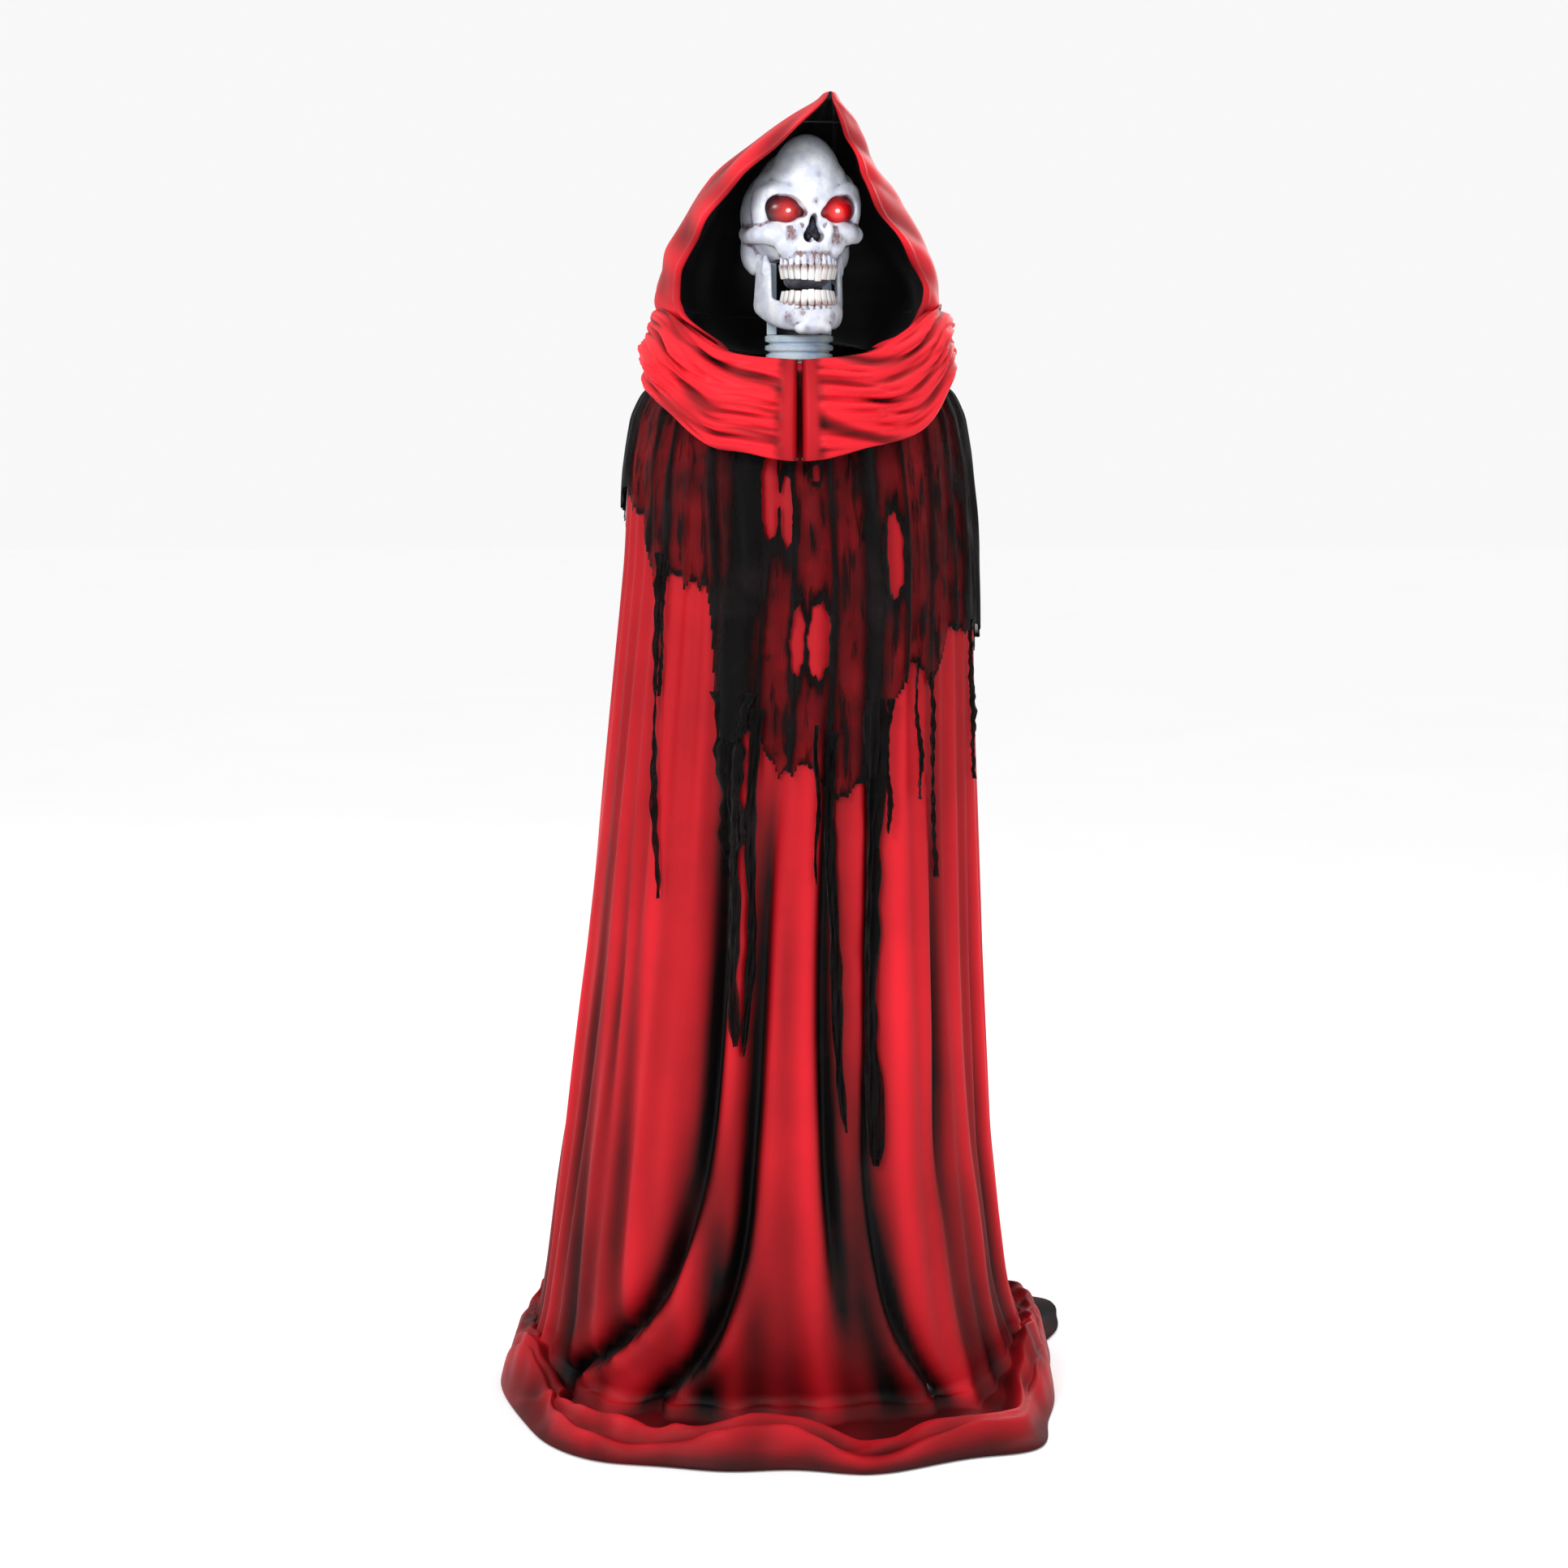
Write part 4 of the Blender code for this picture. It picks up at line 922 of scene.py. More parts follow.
def build_skull():
    """The cranium, face and upper jaw in one form, hollowed, ridged, and cut into its two halves."""
    before = begin()
    lump((0, 0.012, 1.5320), (0.0725, 0.0880, 0.0700))
    lump((0, -0.010, 1.5520), (0.0605, 0.0740, 0.0660))
    lump((0, -0.034, 1.5660), (0.0470, 0.0510, 0.0670))
    pair((0.0420, -0.0180, 1.5560), (0.0240, 0.0440, 0.0320), (0, 8, 6))
    pair((0.0230, -0.0360, 1.5700), (0.0300, 0.0380, 0.0330))
    lump((0, 0.040, 1.5250), (0.0580, 0.0560, 0.0520))
    pair((0.0300, -0.0480, 1.5570), (0.0370, 0.0285, 0.0190), (0, -6, 8))
    lump((0, -0.0520, 1.5480), (0.0240, 0.0255, 0.0170))
    pair((0.0590, -0.0350, 1.5410), (0.0120, 0.0230, 0.0300), (4, 0, 0))
    pair((0.0420, -0.0470, 1.5085), (0.0250, 0.0240, 0.0155), (0, 4, 10))
    pair((0.0600, -0.0370, 1.5075), (0.0135, 0.0190, 0.0120), (0, 6, 16))
    pair((0.0280, -0.0560, 1.4970), (0.0180, 0.0190, 0.0210), (0, 20, 0))
    chain(((0.0655, -0.030, 1.5060, 0.0105), (0.0670, -0.006, 1.5060, 0.0095),
           (0.0655, 0.018, 1.5090, 0.0105)), 14)
    chain(((0.0060, -0.0735, 1.5490, 0.0060), (0.0200, -0.0720, 1.5560, 0.0066),
           (0.0370, -0.0680, 1.5625, 0.0064), (0.0540, -0.0580, 1.5640, 0.0060)), 14)
    lump((0, -0.0640, 1.5380), (0.0110, 0.0170, 0.0160), (12, 0, 0))
    lump((0, -0.0500, 1.4980), (0.0330, 0.0305, 0.0290))
    lump((0, -0.0440, 1.4760), (0.0355, 0.0355, 0.0140))
    pair((0.0180, -0.0690, 1.5000), (0.0080, 0.0090, 0.0220), (8, 12, 0))
    pair((0.0600, 0.0220, 1.4880), (0.0120, 0.0180, 0.0260))
    pair((0.0545, 0.0210, 1.4700), (0.0095, 0.0140, 0.0140))
    lump((0, 0.0350, 1.5050), (0.0500, 0.0440, 0.0280))
    skull = gather(before, "skull_form")
    remesh(skull, 0.0015, 34, 0.5)

    before = begin()
    pair((0.0350, -0.0750, 1.5385), (0.0222, 0.0450, 0.0176), (0, -13, 0))
    pair((0.0205, -0.0750, 1.5370), (0.0135, 0.0380, 0.0080), (0, -30, 0))
    pair((0.0445, -0.0700, 1.5400), (0.0150, 0.0420, 0.0168))
    sockets = gather(before, "socket_cutters")
    remesh(sockets, 0.0012, 4)
    carve(skull, sockets)

    before = begin()
    pair((0.0068, -0.0840, 1.5045), (0.0072, 0.0300, 0.0082), (0, 12, 0))
    lump((0, -0.0840, 1.5120), (0.0105, 0.0300, 0.0090))
    lump((0, -0.0840, 1.5210), (0.0062, 0.0300, 0.0125))
    nose = gather(before, "nose_cutter")
    remesh(nose, 0.0010, 4)
    carve(skull, nose)

    before = begin()
    pair((0.0850, -0.0180, 1.5420), (0.0160, 0.0240, 0.0260), (0, 6, 0))
    pair((0.0600, -0.0470, 1.4760), (0.0215, 0.0480, 0.0170), (0, -14, 0))
    pair((0.0460, -0.0840, 1.4840), (0.0140, 0.0180, 0.0150), (0, -10, 0))
    pair((0.0330, -0.0800, 1.5010), (0.0075, 0.0070, 0.0085))
    lump((0, 0.0050, 1.4600), (0.0430, 0.0600, 0.0330))
    hollows = gather(before, "hollow_cutters")
    remesh(hollows, 0.0015, 4)
    carve(skull, hollows)
    remesh(skull, 0.0013, 5, 0.5)

    before = begin()
    roots(UPPER, 0.0150, 10)
    ridges = gather(before, "root_ridges")
    remesh(ridges, 0.0009, 2, 0.4)
    carve(skull, ridges, "UNION")
    remesh(skull, 0.00115, 3, 0.45)
    hollow_note(skull)
    back = skull.copy()
    back.data = skull.data.copy()
    bpy.context.scene.collection.objects.link(back)
    for half, name, side in ((skull, "skull_face_bone", -1), (back, "skull_back_bone", 1)):
        half.name = name
        before = begin()
        middle = SKULL_SPLIT + side * (0.15 + SPLIT_GAP / 2)
        bpy.ops.mesh.primitive_cube_add(size=0.3, location=(0, middle, 1.53))
        carve(half, gather(before, "split_cutter"), "INTERSECT")
        dress(half, BONE)
        turn_head(half)
    return skull, back


def build_jaw():
    """The chin, the body of the jaw, and the branches that rise to the hinge."""
    before = begin()
    lump((0, -0.0600, 1.4040), (0.0335, 0.0225, 0.0205))
    lump((0, -0.0735, 1.3935), (0.0215, 0.0105, 0.0120))
    pair((0.0150, -0.0725, 1.3895), (0.0095, 0.0090, 0.0075))
    for share in np.linspace(0, 1, 11):
        pair((0.0250 + 0.0264 * share ** 0.75, -0.0610 + 0.0590 * share, 1.4050 + 0.0150 * share ** 1.6),
             (0.0088 - 0.0030 * share, 0.0190, 0.0180 - 0.0030 * share), (-6, 0, -50 + 38 * share))
    for share in np.linspace(0, 1, 8):
        pair((0.0502 - 0.0010 * share, -0.0095, 1.4240 + 0.0400 * share),
             (0.0050, 0.0235 - 0.0040 * share, 0.0140), (-6, 0, -16))
    chain(((0.0495, 0.0060, 1.4500, 0.0060), (0.0500, 0.0085, 1.4700, 0.0058),
           (0.0500, 0.0090, 1.4860, 0.0066)), 9)
    chain(((0.0495, -0.0180, 1.4600, 0.0052), (0.0495, -0.0200, 1.4790, 0.0042)), 6)
    jaw = gather(before, "jaw_form")
    remesh(jaw, 0.0015, 14)
    before = begin()
    lump((0, -0.0150, 1.4100), (0.0330, 0.0430, 0.0400))
    throat = gather(before, "throat_cutter")
    carve(jaw, throat)
    remesh(jaw, 0.0013, 6)
    before = begin()
    roots(LOWER, 0.0130, 8)
    ridges = gather(before, "lower_root_ridges")
    remesh(ridges, 0.0009, 2, 0.4)
    carve(jaw, ridges, "UNION")
    remesh(jaw, 0.00110, 3, 0.45)
    hollow_note(jaw)
    dress(jaw, BONE)
    return turn_head(jaw)


def build_palate():
    """The underside of the upper jaw, sloping down behind the teeth, painted grey as shade."""
    before = begin()
    lump((0, -0.0400, 1.4530), (0.0300, 0.0310, 0.0130), (-12, 0, 0))
    pair((0.0140, -0.0380, 1.4520), (0.0150, 0.0290, 0.0120), (-12, 0, 0))
    palate = gather(before, "palate")
    remesh(palate, 0.0016, 4)
    hollow_note(palate)
    dress(palate, SHADED_BONE)
    return turn_head(palate)


def build_nasal_hollow():
    """The dark, glossy back of the nose opening, with its two little bulges."""
    before = begin()
    lump((0, -0.0590, 1.5120), (0.0130, 0.0080, 0.0220))
    pair((0.0050, -0.0640, 1.5040), (0.0042, 0.0060, 0.0060))
    lump((0, -0.0650, 1.5170), (0.0035, 0.0060, 0.0120), (10, 0, 0))
    hollow = gather(before, "nasal_hollow")
    remesh(hollow, 0.0010, 3)
    dress(hollow, nasal_dark())
    return turn_head(hollow)


def build_eye(side, strength, rim):
    """A red dome that fills the socket, lit from behind."""
    word = "left" if side < 0 else "right"
    before = begin()
    lump((side * 0.0335, -0.0440, 1.5375), (0.0270, 0.0240, 0.0215), (0, 0, 0), 24)
    lump((side * 0.0150, -0.0480, 1.5350), (0.0110, 0.0160, 0.0110), (0, 0, 0), 16)
    eye = gather(before, "eye_dome_" + word)
    remesh(eye, 0.0014, 5)
    spot = HEAD_PLACE @ Vector((side * 0.0332, -0.0680, 1.5352))
    dress(eye, eye_glow("eye_glow_" + word, spot, strength, rim))
    return turn_head(eye)


# ------------------------------------------------------------------ hood, cowl, gauze and train

# The hood in rings: height, centre, half width, middle depth, half depth, and how far its left and right
# edges reach forward, in degrees.
HOOD_FORM = np.array((
    (1.3620, 0.0050, 0.1640, 0.006, 0.122, 60.0, 58.0),
    (1.3900, 0.0045, 0.1760, 0.008, 0.134, 44.0, 38.0),
    (1.4150, 0.0045, 0.1840, 0.012, 0.146, 36.0, 29.0),
    (1.4520, 0.0050, 0.1815, 0.015, 0.158, 34.0, 29.0),
    (1.5000, 0.0050, 0.1660, 0.014, 0.160, 39.0, 41.0),
    (1.5540, 0.0030, 0.1300, 0.010, 0.152, 46.0, 44.0),
    (1.5900, 0.0060, 0.1030, 0.000, 0.142, 56.0, 44.0),
    (1.6220, 0.0190, 0.0760, -0.012, 0.127, 66.0, 50.0),
    (1.6480, 0.0320, 0.0480, -0.030, 0.102, 72.0, 58.0),
    (1.6680, 0.0420, 0.0220, -0.052, 0.075, 78.0, 70.0),
    (1.6790, 0.0460, 0.0030, -0.066, 0.056, 84.0, 84.0)))

# The cowl, from its front edge round to the back: angle, low height, half width and depth, and the same high.
COWL_FORM = np.array((
    (0.9, 1.2270, 0.2120, 0.186, 1.3520, 0.168, 0.152),
    (9.0, 1.2300, 0.2130, 0.188, 1.3535, 0.170, 0.153),
    (20.0, 1.2400, 0.2140, 0.188, 1.3560, 0.172, 0.155),
    (31.0, 1.2460, 0.2150, 0.187, 1.3610, 0.176, 0.157),
    (42.0, 1.2620, 0.2130, 0.184, 1.3760, 0.176, 0.158),
    (65.0, 1.3050, 0.2040, 0.176, 1.4080, 0.178, 0.158),
    (88.0, 1.3300, 0.1950, 0.172, 1.4220, 0.179, 0.160),
    (115.0, 1.3200, 0.1980, 0.176, 1.4150, 0.184, 0.162),
    (145.0, 1.2980, 0.2060, 0.180, 1.4060, 0.188, 0.164),
    (179.5, 1.2800, 0.2100, 0.184, 1.4020, 0.188, 0.164)))

# The cowl's pleats, coarse to fine: how many across its width, how deep, and how far each set is shifted.
COWL_PLEATS = ((2.4, 0.0058, 0.0), (4.1, 0.0040, 1.7), (7.3, 0.0034, 4.0), (12.5, 0.0021, 6.1))

# The gauze shawl's torn hem: angle and height.
HEM_FORM = np.array((
    (-180, 1.170), (-163, 1.190), (-150, 1.130), (-139, 1.072), (-130, 1.088), (-121, 1.074), (-117, 1.010),
    (-114, 0.900), (-108, 0.880), (-101, 0.886), (-96, 0.860), (-86, 0.843), (-80, 0.812), (-70, 0.819),
    (-62, 0.828), (-59, 0.925), (-51, 0.968), (-44, 0.932), (-39, 0.968), (-34, 1.010), (-22, 1.014),
    (-10, 1.012), (6, 0.985), (24, 0.960), (45, 0.985), (66, 0.930), (90, 0.950), (112, 0.925),
    (135, 1.020), (158, 1.080), (180, 1.170)))

# Torn holes: angle and height of the middle, half width in degrees, half height.
HOLES = (
    (-98.8, 1.185, 2.8, 0.056), (-93.6, 1.164, 1.9, 0.047), (-57.7, 1.108, 3.0, 0.054),
    (-89.6, 1.004, 2.2, 0.044), (-83.0, 1.004, 3.3, 0.048), (-126.0, 1.035, 3.4, 0.030),
    (-84.0, 1.212, 1.2, 0.010), (30.0, 1.110, 3.6, 0.040), (74.0, 1.060, 3.2, 0.052),
    (98.0, 1.150, 2.4, 0.036), (128.0, 1.120, 3.4, 0.034))

# Gathered dark bunches: angle, wander, half width in degrees, and how dense.
BUNCHES = (
    (-107.5, 1.4, 5.6, 1.0), (-66.0, 0.8, 2.6, 1.0), (-79.0, 0.7, 0.9, 0.8), (-91.0, 0.9, 0.8, 0.9),
    (-100.5, 0.5, 0.5, 0.8), (-118.0, 1.6, 1.6, 0.6), (-136.0, 2.2, 1.1, 0.9), (-147.0, 1.8, 1.2, 0.35),
    (-54.0, 1.0, 0.8, 0.7), (-42.0, 1.6, 1.0, 0.5), (-30.0, 2.0, 1.4, 0.5), (-18.0, 1.2, 3.0, 0.7),
    (-5.0, 1.5, 7.0, 1.0), (14.0, 1.5, 6.0, 0.8), (178.0, 1.5, 6.0, 0.7), (-171.0, 1.5, 4.0, 0.6),
    (40.0, 2.5, 2.2, 0.6), (62.0, 2.2, 3.6, 0.8), (88.0, 2.5, 2.4, 0.7), (110.0, 2.4, 4.0, 0.8),
    (146.0, 2.5, 3.0, 0.6))

# Ribbons of gauze hanging below the shawl: angle, width, top and bottom heights, and how far the end swings.
RIBBONS = {
    "gauze_strip_1": ((-108.5, 0.050, 0.94, 0.700, 2.0), (-107.5, 0.024, 0.93, 0.495, 4.6),
                      (-101.0, 0.014, 0.92, 0.480, 0.6)),
    "gauze_strip_2": ((-78.0, 0.016, 0.89, 0.383, 7.0), (-83.0, 0.007, 0.90, 0.700, 1.0)),
    "gauze_strip_3": ((-64.8, 0.031, 0.93, 0.328, 2.6), (-60.5, 0.008, 0.93, 0.760, 1.4)),
    "gauze_strip_4": ((-139.0, 0.009, 1.11, 0.675, 11.0), (-136.0, 0.004, 1.10, 0.930, 3.0)),
}

# Loose ends of gauze, in the same terms.
THREADS = (
    (-44.0, 0.007, 0.960, 0.696, 2.6), (-50.0, 0.004, 0.980, 0.800, 1.6), (-19.0, 0.006, 1.020, 0.813, 1.0),
    (30.0, 0.007, 0.980, 0.700, 2.0), (70.0, 0.010, 0.960, 0.600, -2.0), (104.0, 0.018, 0.950, 0.520, 2.0),
    (120.0, 0.008, 0.980, 0.700, -2.0), (150.0, 0.010, 1.080, 0.740, 1.5))

# The train on the floor: angle, and how far it reaches out there.
TRAIN_FORM = np.array((
    (14, 0.004), (22, 0.044), (30, 0.092), (36, 0.118), (41, 0.116), (54, 0.096),
    (66, 0.080), (76, 0.070), (90, 0.067), (104, 0.050), (114, 0.028), (126, 0.004)))


def build_hood():
    """One sheet of satin over a black lining, open at the front, gathered to a forward peak."""
    share = np.linspace(0, 1, HOOD_ROWS)
    height = HOOD_FORM[0, 0] + (HOOD_FORM[-1, 0] - HOOD_FORM[0, 0]) * share
    centre, half, middle, deep, left, right = smooth_table(HOOD_FORM, height, 0.010)
    across = np.linspace(0, 1, HOOD_COLUMNS)
    across = across - 0.035 * np.sin(across * math.tau)
    u, v = np.meshgrid(across, share)
    z = height[:, None] + 0 * u
    degrees = -right[:, None] + (180 + left + right)[:, None] * u
    angle = np.radians(degrees)
    # Gathers behind the front edge, a loose drape over the back, a centre seam, and a rolled lip.
    open_up = smooth_step(half, 0.004, 0.05)[:, None]
    edge = np.minimum(u, 1 - u)
    band = bell(edge, 0.16)
    side = np.where(u < 0.5, 1.0, -1.0)
    slant = z * 46 + side * edge * 17
    dents = 0.0042 * np.abs(np.sin(slant + 1.4 * np.sin(z * 19 + side))) ** 1.4 * band
    dents += 0.0030 * np.sin(slant * 1.9 + 2.0 * np.sin(edge * 9 + z * 13 + side)) * band
    drape = 0.0060 * np.sin(degrees * 0.105 + 5.5 * v + 1.2 * np.sin(v * 7)) * (1 - band) * (1 - 0.6 * v)
    drape += 0.0034 * np.sin(degrees * 0.21 - 7 * v + 2 * np.sin(v * 5 + degrees * 0.03)) * (1 - band)
    seam = -0.0030 * bell(degrees - BACK, 1.6) + 0.0016 * bell(np.abs(degrees - BACK) - 3.2, 2)
    lip = 0.0050 * bell(edge - 0.006, 0.010) - 0.0040 * bell(edge, 0.0035)
    off = (dents + drape + seam + lip - 0.003) * open_up
    x = centre[:, None] + (half[:, None] + off) * np.cos(angle)
    y = middle[:, None] + (deep[:, None] + off) * np.sin(angle)
    z = z + 0.006 * np.sin(degrees * 0.09 + 1) * (1 - v) ** 6
    points = np.stack((x, y, z), axis=-1)
    # The last ring closes on the line of the peak.
    top = points[-1].copy()
    top[:, 0] = centre[-1]
    top[:, 2] = HOOD_PEAK
    points = np.concatenate((points, top[None]), axis=0)
    # Painted highlights and shade follow the dents and the drape, with painted shade along the seam at the
    # back.
    crest = np.clip(0.53 + (dents + drape) * 55 - 0.25 * bell(degrees - BACK, 1.6), 0, 1)
    crest = np.concatenate((crest, crest[-1:]), axis=0)
    hood = sheet_object("hood_cloth", points, crest, around=False)
    weld = hood.modifiers.new("weld", "WELD")
    weld.merge_threshold = 0.0006
    apply_modifiers(hood)
    dress(hood, RED_SATIN, BLACK_LINING)
    thicken(hood, SATIN_CLOTH, inner=1)
    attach(hood, "stand")
    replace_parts(hood, "hood")


def build_cowl(side, word):
    """One half of the cowl: ruched across its width, with a flat band down its front edge."""
    share = np.linspace(0, 1, COWL_COLUMNS)
    degrees = 0.9 + 179.0 * (0.72 * share + 0.28 * share ** 2)
    low, low_x, low_y, high, high_x, high_y = smooth_table(COWL_FORM, degrees, 3.0)
    around, up = np.meshgrid(degrees, np.linspace(-0.10, 1.10, COWL_ROWS))
    # Beyond 0 and 1 the cloth curls under at its lower and upper edge.
    t = np.clip(up, 0, 1)
    curl = np.maximum(-up, 0) + np.maximum(up - 1, 0)
    flat_band = smooth_step(around, 5.5, 9.5)
    shoulder = bell(around - 84, 26)
    phase = 2.0 if side < 0 else 5.3
    drift = 1.3 * np.sin(np.radians(around) * 2.3 + phase)
    drift = drift + 0.7 * np.sin(np.radians(around) * 5.1 + 2 * phase)
    pleats = 0.0
    for count, depth, lag in COWL_PLEATS:
        wave = np.sin(math.tau * count * t + drift * (1.6 + 0.3 * lag) + lag + phase
                      + 1.5 * np.sin(around * 0.045 * (1 + lag * 0.3) + phase + lag)
                      + 0.8 * np.sin(t * 7 + lag))
        gate = 0.5 + 0.5 * np.sin(around * (0.050 + 0.022 * lag) + t * 6 + phase * (1 + lag))
        crease = 1 - 1.7 * np.exp(-((1 - wave) / 0.55) ** 1.3)
        pleats = pleats + depth * crease * np.clip(gate * 1.3, 0.10, 1)
    pleats = pleats * flat_band
    swell = 0.012 * np.sin(math.pi * t) ** 0.8 * (1 - 0.35 * shoulder)
    edge_band = 0.0034 * (1 - flat_band) * smooth_step(around, 0.9, 2.6)
    stitch = -0.0008 * bell(around - 7.2, 0.55)
    roll = 0.9 * curl * 0.11
    hold = np.sin(math.pi * np.clip(t * 0.94 + 0.03, 0, 1)) ** 0.4
    off = swell + pleats * hold + edge_band + stitch - roll
    front_tuck = -0.012 * bell(around - 0.9, 0.9)
    half = low_x + (high_x - low_x) * t + off + front_tuck * 0.3
    deep = low_y + (high_y - low_y) * t + off + front_tuck
    angle = np.radians(FRONT + side * around)
    sag = 0.006 * np.sin(np.radians(around) * 7 + phase) * smooth_step(around, 12, 40)
    z = low + (high - low) * t + sag * (1 - t) + 0.003 * np.sin(curl * 30) * np.where(up < 0.5, 1, -1)
    points = np.stack((AXIS_X + half * np.cos(angle), deep * np.sin(angle), z), axis=-1)
    # Painted highlights on the pleats, on the middle of the cowl and on its front band, painted shade in the
    # curled edges and along the stitched line.
    crest = np.clip(0.47 + pleats * 82 + 0.10 * (1 - flat_band) + 0.10 * np.sin(math.pi * t) - curl * 4, 0, 1)
    crest = crest - 0.30 * bell(around - 7.6, 1.6) * (0.6 + 0.4 * np.sin(t * 21))
    if side < 0:
        points, crest = points[:, ::-1], crest[:, ::-1]
    cowl = sheet_object("cowl_" + word + "_cloth", points, crest, around=False)
    dress(cowl, RED_SATIN, BLACK_LINING)
    thicken(cowl, SATIN_CLOTH, inner=1)
    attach(cowl, "stand")
    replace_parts(cowl, "cowl_" + word)


def ragged(degrees, seed):
    """A torn edge: broad sweeps and a few short hanging tongues."""
    broad = 0.006 * periodic(degrees, seed, 6, 5, 24)
    sharp = np.clip(np.abs(periodic(degrees, seed + 1, 7, 24, 60)), 0, 1.6) ** 2.2
    return broad - 0.006 * sharp


def hole_reach(degrees, height, hole):
    """1 on the frayed rim of a hole, less inside it, and more outside."""
    middle, level, wide, tall = hole
    gap, rise = angle_gap(degrees, middle) / wide, (height - level) / tall
    bearing = np.arctan2(rise, gap)
    fray = 1 + 0.07 * np.sin(bearing * 7 + middle) + 0.05 * np.sin(bearing * 13 + 2 * middle)
    return (np.abs(gap) ** 2.3 + np.abs(rise) ** 2.3) ** (1 / 2.3) / fray


def bunch_density(degrees, height):
    """How closely the gauze is gathered, from 0 to 1."""
    total = np.zeros_like(height)
    for middle, swing, width, amount in BUNCHES:
        centre = middle + swing * np.sin(height * (9 + abs(middle) * 0.03) + middle)
        total += amount * bell(angle_gap(degrees, centre), width)
    return np.clip(total, 0, 1)


def build_shawl():
    """Torn gauze over the robe, its grid pulled onto the torn hem and onto the rims of its holes."""
    columns = np.linspace(-180, 180, SHAWL_COLUMNS, endpoint=False)
    degrees, height = np.meshgrid(columns, np.linspace(SHAWL_TOP, SHAWL_FOOT, SHAWL_ROWS))
    cell = height[0, 0] - height[1, 0]
    hem = np.interp(degrees[0], HEM_FORM[:, 0], HEM_FORM[:, 1]) + ragged(degrees[0], 21)
    near = (height > hem[None, :] - cell * 0.5) & (height < hem[None, :] + cell * 0.5)
    height = np.where(near, hem[None, :], height)
    keep = height > hem[None, :] - 1e-6
    rim = bell(height - hem[None, :], 0.006)
    for hole in HOLES:
        middle, level, wide, tall = hole
        reach = hole_reach(degrees, height, hole)
        wall = 0.5 * max(360 / SHAWL_COLUMNS / wide, cell / tall)
        onto = (reach > 1 - wall) & (reach < 1 + wall)
        pull = np.where(onto, 1 / reach, 1.0)
        degrees = middle + angle_gap(degrees, middle) * pull
        degrees = np.where(onto, degrees, angle_gap(degrees, 0))
        height = np.where(onto, level + (height - level) * pull, height)
        reach = np.where(onto, 1.0, reach)
        keep &= reach > 1 - 1e-6
        away = np.maximum(reach - 1, 0) * min(wide * 0.004, tall)
        rim = np.maximum(rim, bell(away, 0.004) * (reach < 2))
    dense = bunch_density(degrees, height)
    off = GAUZE_OFF + 0.0045 * dense + 0.0007 * np.sin(np.radians(degrees) * 60 + 5 * np.sin(height * 11))
    off += 0.0020 * np.sin(np.radians(degrees) * 23 + 8 * height)
    points, _ = robe_surface(degrees, height, off)
    points[..., 1] -= 0.002 * dense
    uv = np.stack((np.radians(degrees) * SHAWL_GIRTH, height), axis=-1)
    shawl = sheet_object("gauze_shawl_cloth", points[::-1], around=True, keep=keep[::-1], uv=uv[::-1],
                         marks={"dense": np.clip(dense + 0.8 * rim, 0, 1)[::-1]})
    dress(shawl, TORN_GAUZE)
    thicken(shawl, GAUZE_CLOTH)
    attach(shawl, "stand")
    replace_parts(shawl, "gauze_shawl")


def ribbon_strip(name, ribbons, seed):
    """Torn ribbons that hang down over the robe, joined as one torn piece."""
    draw = random.Random(seed)
    before = begin()
    for order, (middle, width, top, bottom, swing) in enumerate(ribbons):
        rows = max(30, int((top - bottom) / 0.006))
        columns = 3 + int(width / 0.0035)
        down, over = np.meshgrid(np.linspace(0, 1, rows), np.linspace(-0.5, 0.5, columns), indexing="ij")
        height = top + (bottom - top) * down
        phase = draw.uniform(0, 6)
        narrow = 1 - 0.30 * down ** 2 + 0.16 * np.sin(down * 17 + phase) + 0.10 * np.sin(down * 41 + phase)
        narrow = narrow * (1 - 0.75 * smooth_step(down, 0.94, 1.0))
        narrow = narrow * (0.75 + 0.25 * smooth_step(down, 0.3, 0.0))
        degrees = middle + swing * down ** 1.5 + 0.5 * np.sin(down * 9 + phase)
        degrees = degrees + np.degrees(over * width * narrow / RIBBON_GIRTH)
        off = 0.0095 + 0.0030 * np.sin(over * 14 + down * 8 + phase) + 0.0015 * np.sin(down * 60 + over * 9)
        points, _ = robe_surface(degrees, height, off)
        uv = np.stack((np.radians(degrees) * RIBBON_GIRTH, height), axis=-1)
        dense = 0.55 + 0.30 * np.cos(over * math.pi) + 0.15 * np.sin(down * 23 + over * 11) - 0.25 * down ** 3
        keep = height >= bottom
        sheet_object(f"{name}_ribbon_{order}", points[::-1], around=False, keep=keep[::-1], uv=uv[::-1],
                     marks={"dense": np.clip(dense, 0, 1)[::-1]})
    strip = gather(before, name + "_cloth")
    dress(strip, TORN_GAUZE)
    thicken(strip, GAUZE_CLOTH)
    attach(strip, "stand")
    length = max(top - bottom for _, _, top, bottom, _ in ribbons)
    cut = sum(face.area for face in strip.data.polygons) / 2
    cut / length
    return strip


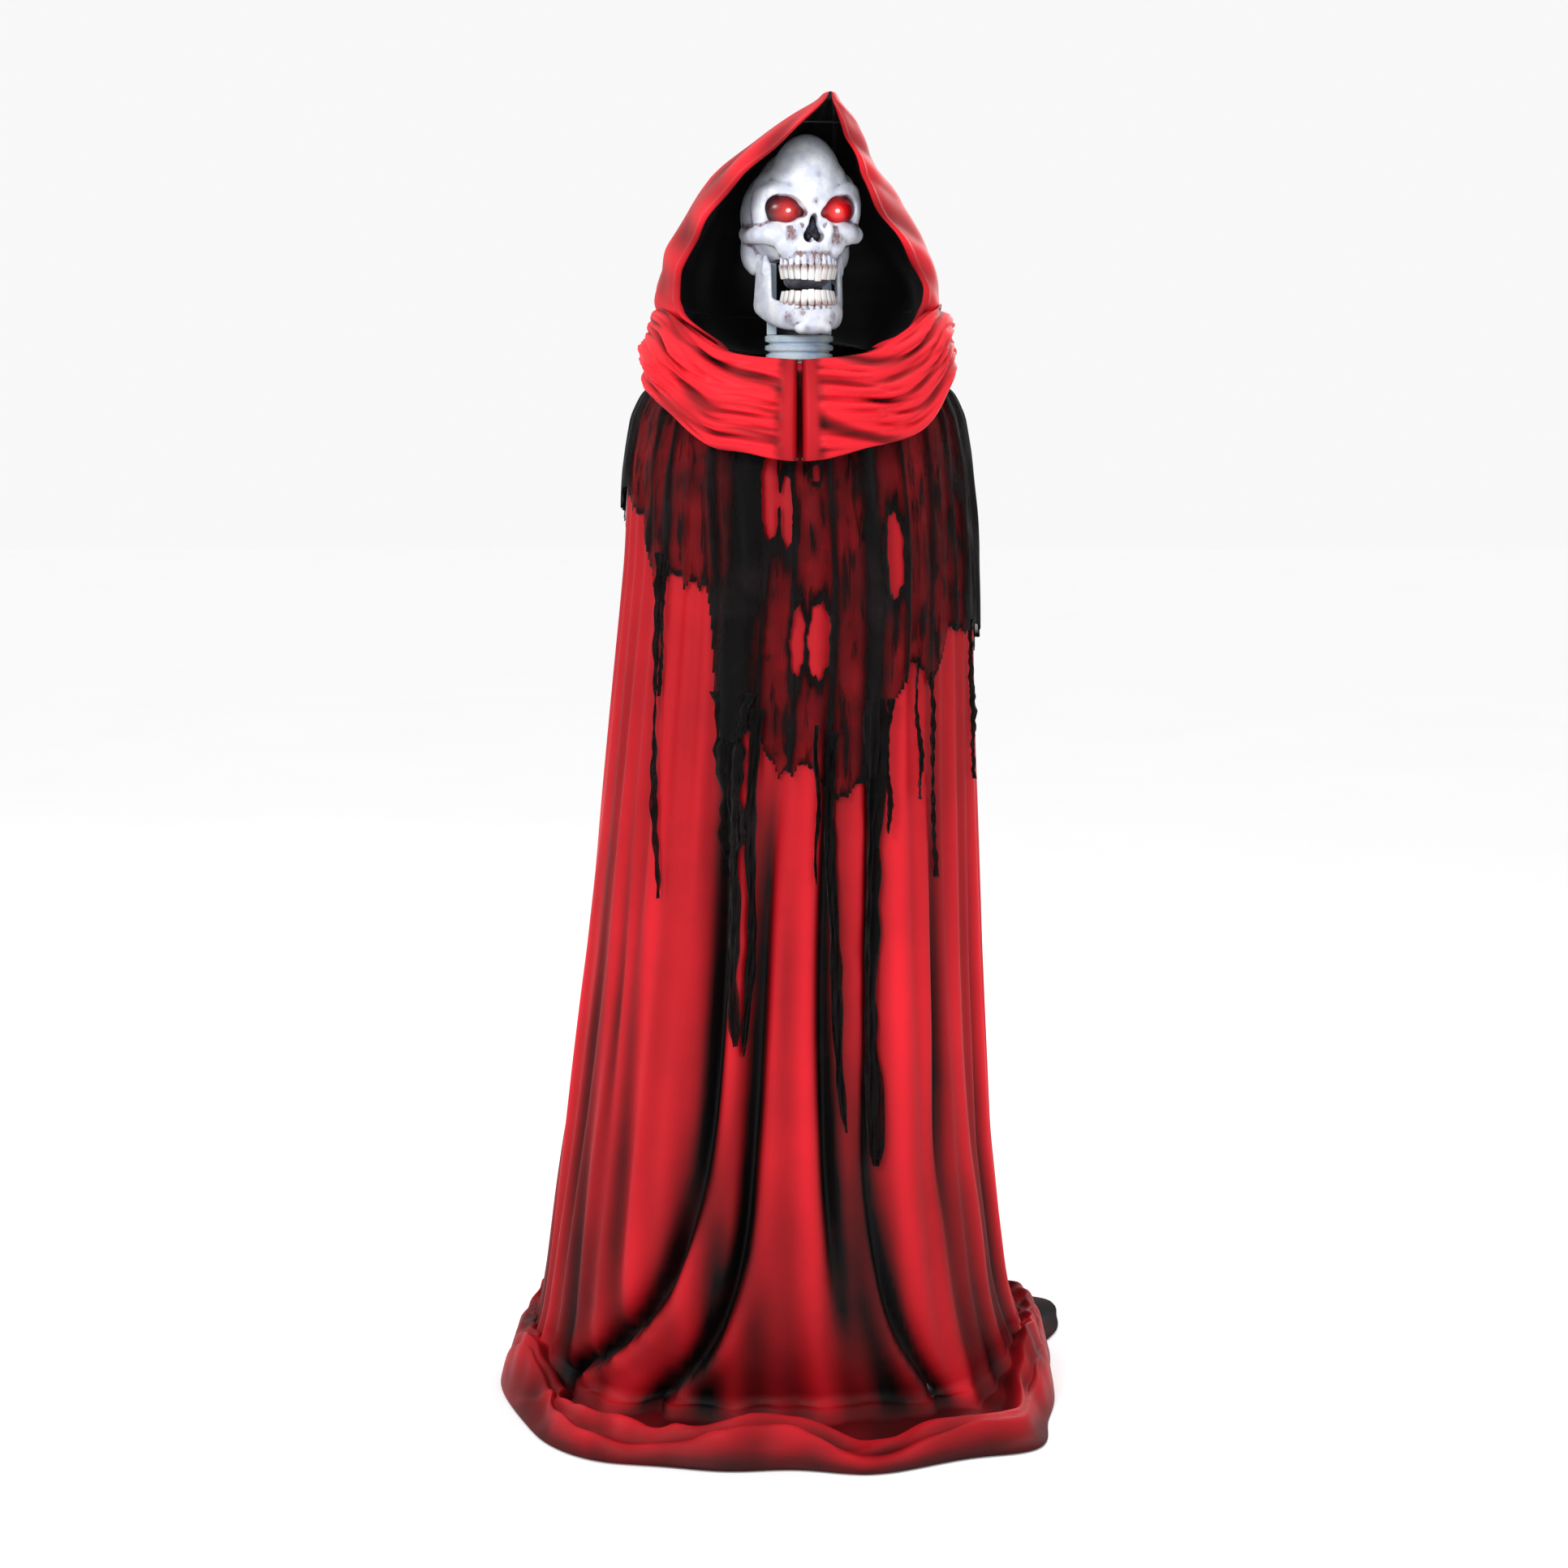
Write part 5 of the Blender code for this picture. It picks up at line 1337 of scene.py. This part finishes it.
def build_train():
    """The tongue of cloth that trails out behind, on the floor, in red satin painted dark as deep shade."""
    _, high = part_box("train")
    first, last = TRAIN_FORM[0, 0], TRAIN_FORM[-1, 0]
    degrees, out = np.meshgrid(np.linspace(first, last, TRAIN_COLUMNS), np.linspace(0, 1, TRAIN_ROWS))
    reach = smooth_table(TRAIN_FORM, degrees, 3.0)[0] - TRAIN_FORM[0, 1]
    radians = np.radians(degrees)
    fold = np.sin(radians * 16 + out * 2.4) * np.sin(math.pi * np.clip(out, 0, 1)) ** 0.6
    fine = np.sin(radians * 37 - out * 6 + 1)
    wobble = 1 + 0.05 * np.sin(radians * 21) * out
    x = RIM_MIDDLE + (0.350 + (0.019 + reach) * out * wobble) * np.cos(radians)
    y = (0.300 + (0.025 + reach) * out * wobble) * np.sin(radians)
    z = 0.0022 + (0.0075 * (0.6 + 0.5 * fold) + 0.0018 * fine) * (1 - out ** 3) + 0.004 * (1 - out) ** 2
    x = np.clip(x, None, high.x - 0.001)
    y = np.clip(y, None, high.y - 0.001)
    points = np.stack((x, y, np.maximum(z, 0.0018)), axis=-1)
    # Painted highlights and shade on the train's folds, kept dark.
    crest = np.clip(0.10 + 0.26 * fold + 0.08 * fine, 0, 0.5)
    train = sheet_object("train_cloth", points[:, ::-1], crest[:, ::-1], around=False)
    dress(train, SHADED_SATIN)
    thicken(train, TRAIN_CLOTH)
    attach(train, "stand")
    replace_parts(train, "train")


def build_pads():
    """Foam pads round the shoulder arms, crowned on top, and full towards the front and the back."""
    for word in ("left", "right"):
        low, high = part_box("shoulder_pad_" + word)
        middle = (low + high) / 2
        size = (high - low) / 2
        before = begin()
        lump(middle, (size.x * 0.99, size.y * 0.99, size.z * 0.97))
        lump(middle + Vector((0, size.y * 0.4, -size.z * 0.1)), (size.x * 0.93, size.y * 0.55, size.z * 0.8))
        lump(middle - Vector((0, size.y * 0.4, size.z * 0.1)), (size.x * 0.93, size.y * 0.55, size.z * 0.8))
        pad = gather(before, "shoulder_foam_" + word)
        remesh(pad, 0.003, 4)
        dress(pad, PLAIN["grey_foam"])
        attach(pad, "stand")
        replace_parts(pad, "shoulder_pad_" + word)


# ------------------------------------------------------------------ CAD finishes, and the build

PLAIN = {
    "steel_tube": powder_coat(),
    "zinc_plate": metal("zinc_plate", (0.55, 0.55, 0.54), 0.34),
    "black_rubber": moulded("black_rubber", (0.025, 0.025, 0.026), 0.8, 500.0),
    "grey_foam": moulded("grey_foam", (0.25, 0.25, 0.26), 0.9, 260.0),
    "black_plastic": moulded("black_plastic", (0.03, 0.03, 0.032), 0.5),
    "white_nylon": moulded("white_nylon", (0.80, 0.79, 0.74), 0.45),
    "neck_plastic": milky(),
    "red_lens": eye_glow("button_red", (AXIS_X + 0.046, 0.0255, 1.11), 0.2, (0.02, 0, 0)),
    "red_led": led_light(),
    "green_board": circuit(),
    "battery_sleeve": moulded("battery_sleeve", (0.10, 0.10, 0.11), 0.3, 900.0),
    "bone_plastic": BONE,
    "red_satin": RED_SATIN,
    "black_gauze": TORN_GAUZE,
}

build_stage()
build_robe()
build_hood()
build_cowl(-1, "left")
build_cowl(1, "right")
build_shawl()
for order, (node, ribbons) in enumerate(RIBBONS.items()):
    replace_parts(ribbon_strip(node, ribbons, 60 + order), node)
ribbon_strip("gauze_threads", THREADS, 70)
build_train()
build_pads()
for skull, node in zip(build_skull(), ("skull_face", "skull_back")):
    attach(skull, "head")
    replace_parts(skull, node)
jaw = build_jaw()
jaw.name = "mandible_bone"
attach(jaw, "jaw")
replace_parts(jaw, "mandible")
for name, row, body, seed in (("upper_teeth", UPPER, "head", 5), ("lower_teeth", LOWER, "jaw", 6)):
    crowns = teeth(name, row, seed)
    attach(crowns, body)
for piece in (build_palate(), build_nasal_hollow()):
    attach(piece, "head")
for side, node, strength, rim in ((-1, "eye_lens_left", 0.55, (0.03, 0.0, 0.008)),
                                  (1, "eye_lens_right", 0.95, (0.03, 0.0, 0.002))):
    eye = build_eye(side, strength, rim)
    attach(eye, "head")
    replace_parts(eye, node)
for part in frame["record"]["subparts"]:
    node = frame["nodes"][part["node"]]
    node.data.materials.clear()
    node.data.materials.append(PLAIN[part["material_slot"]])
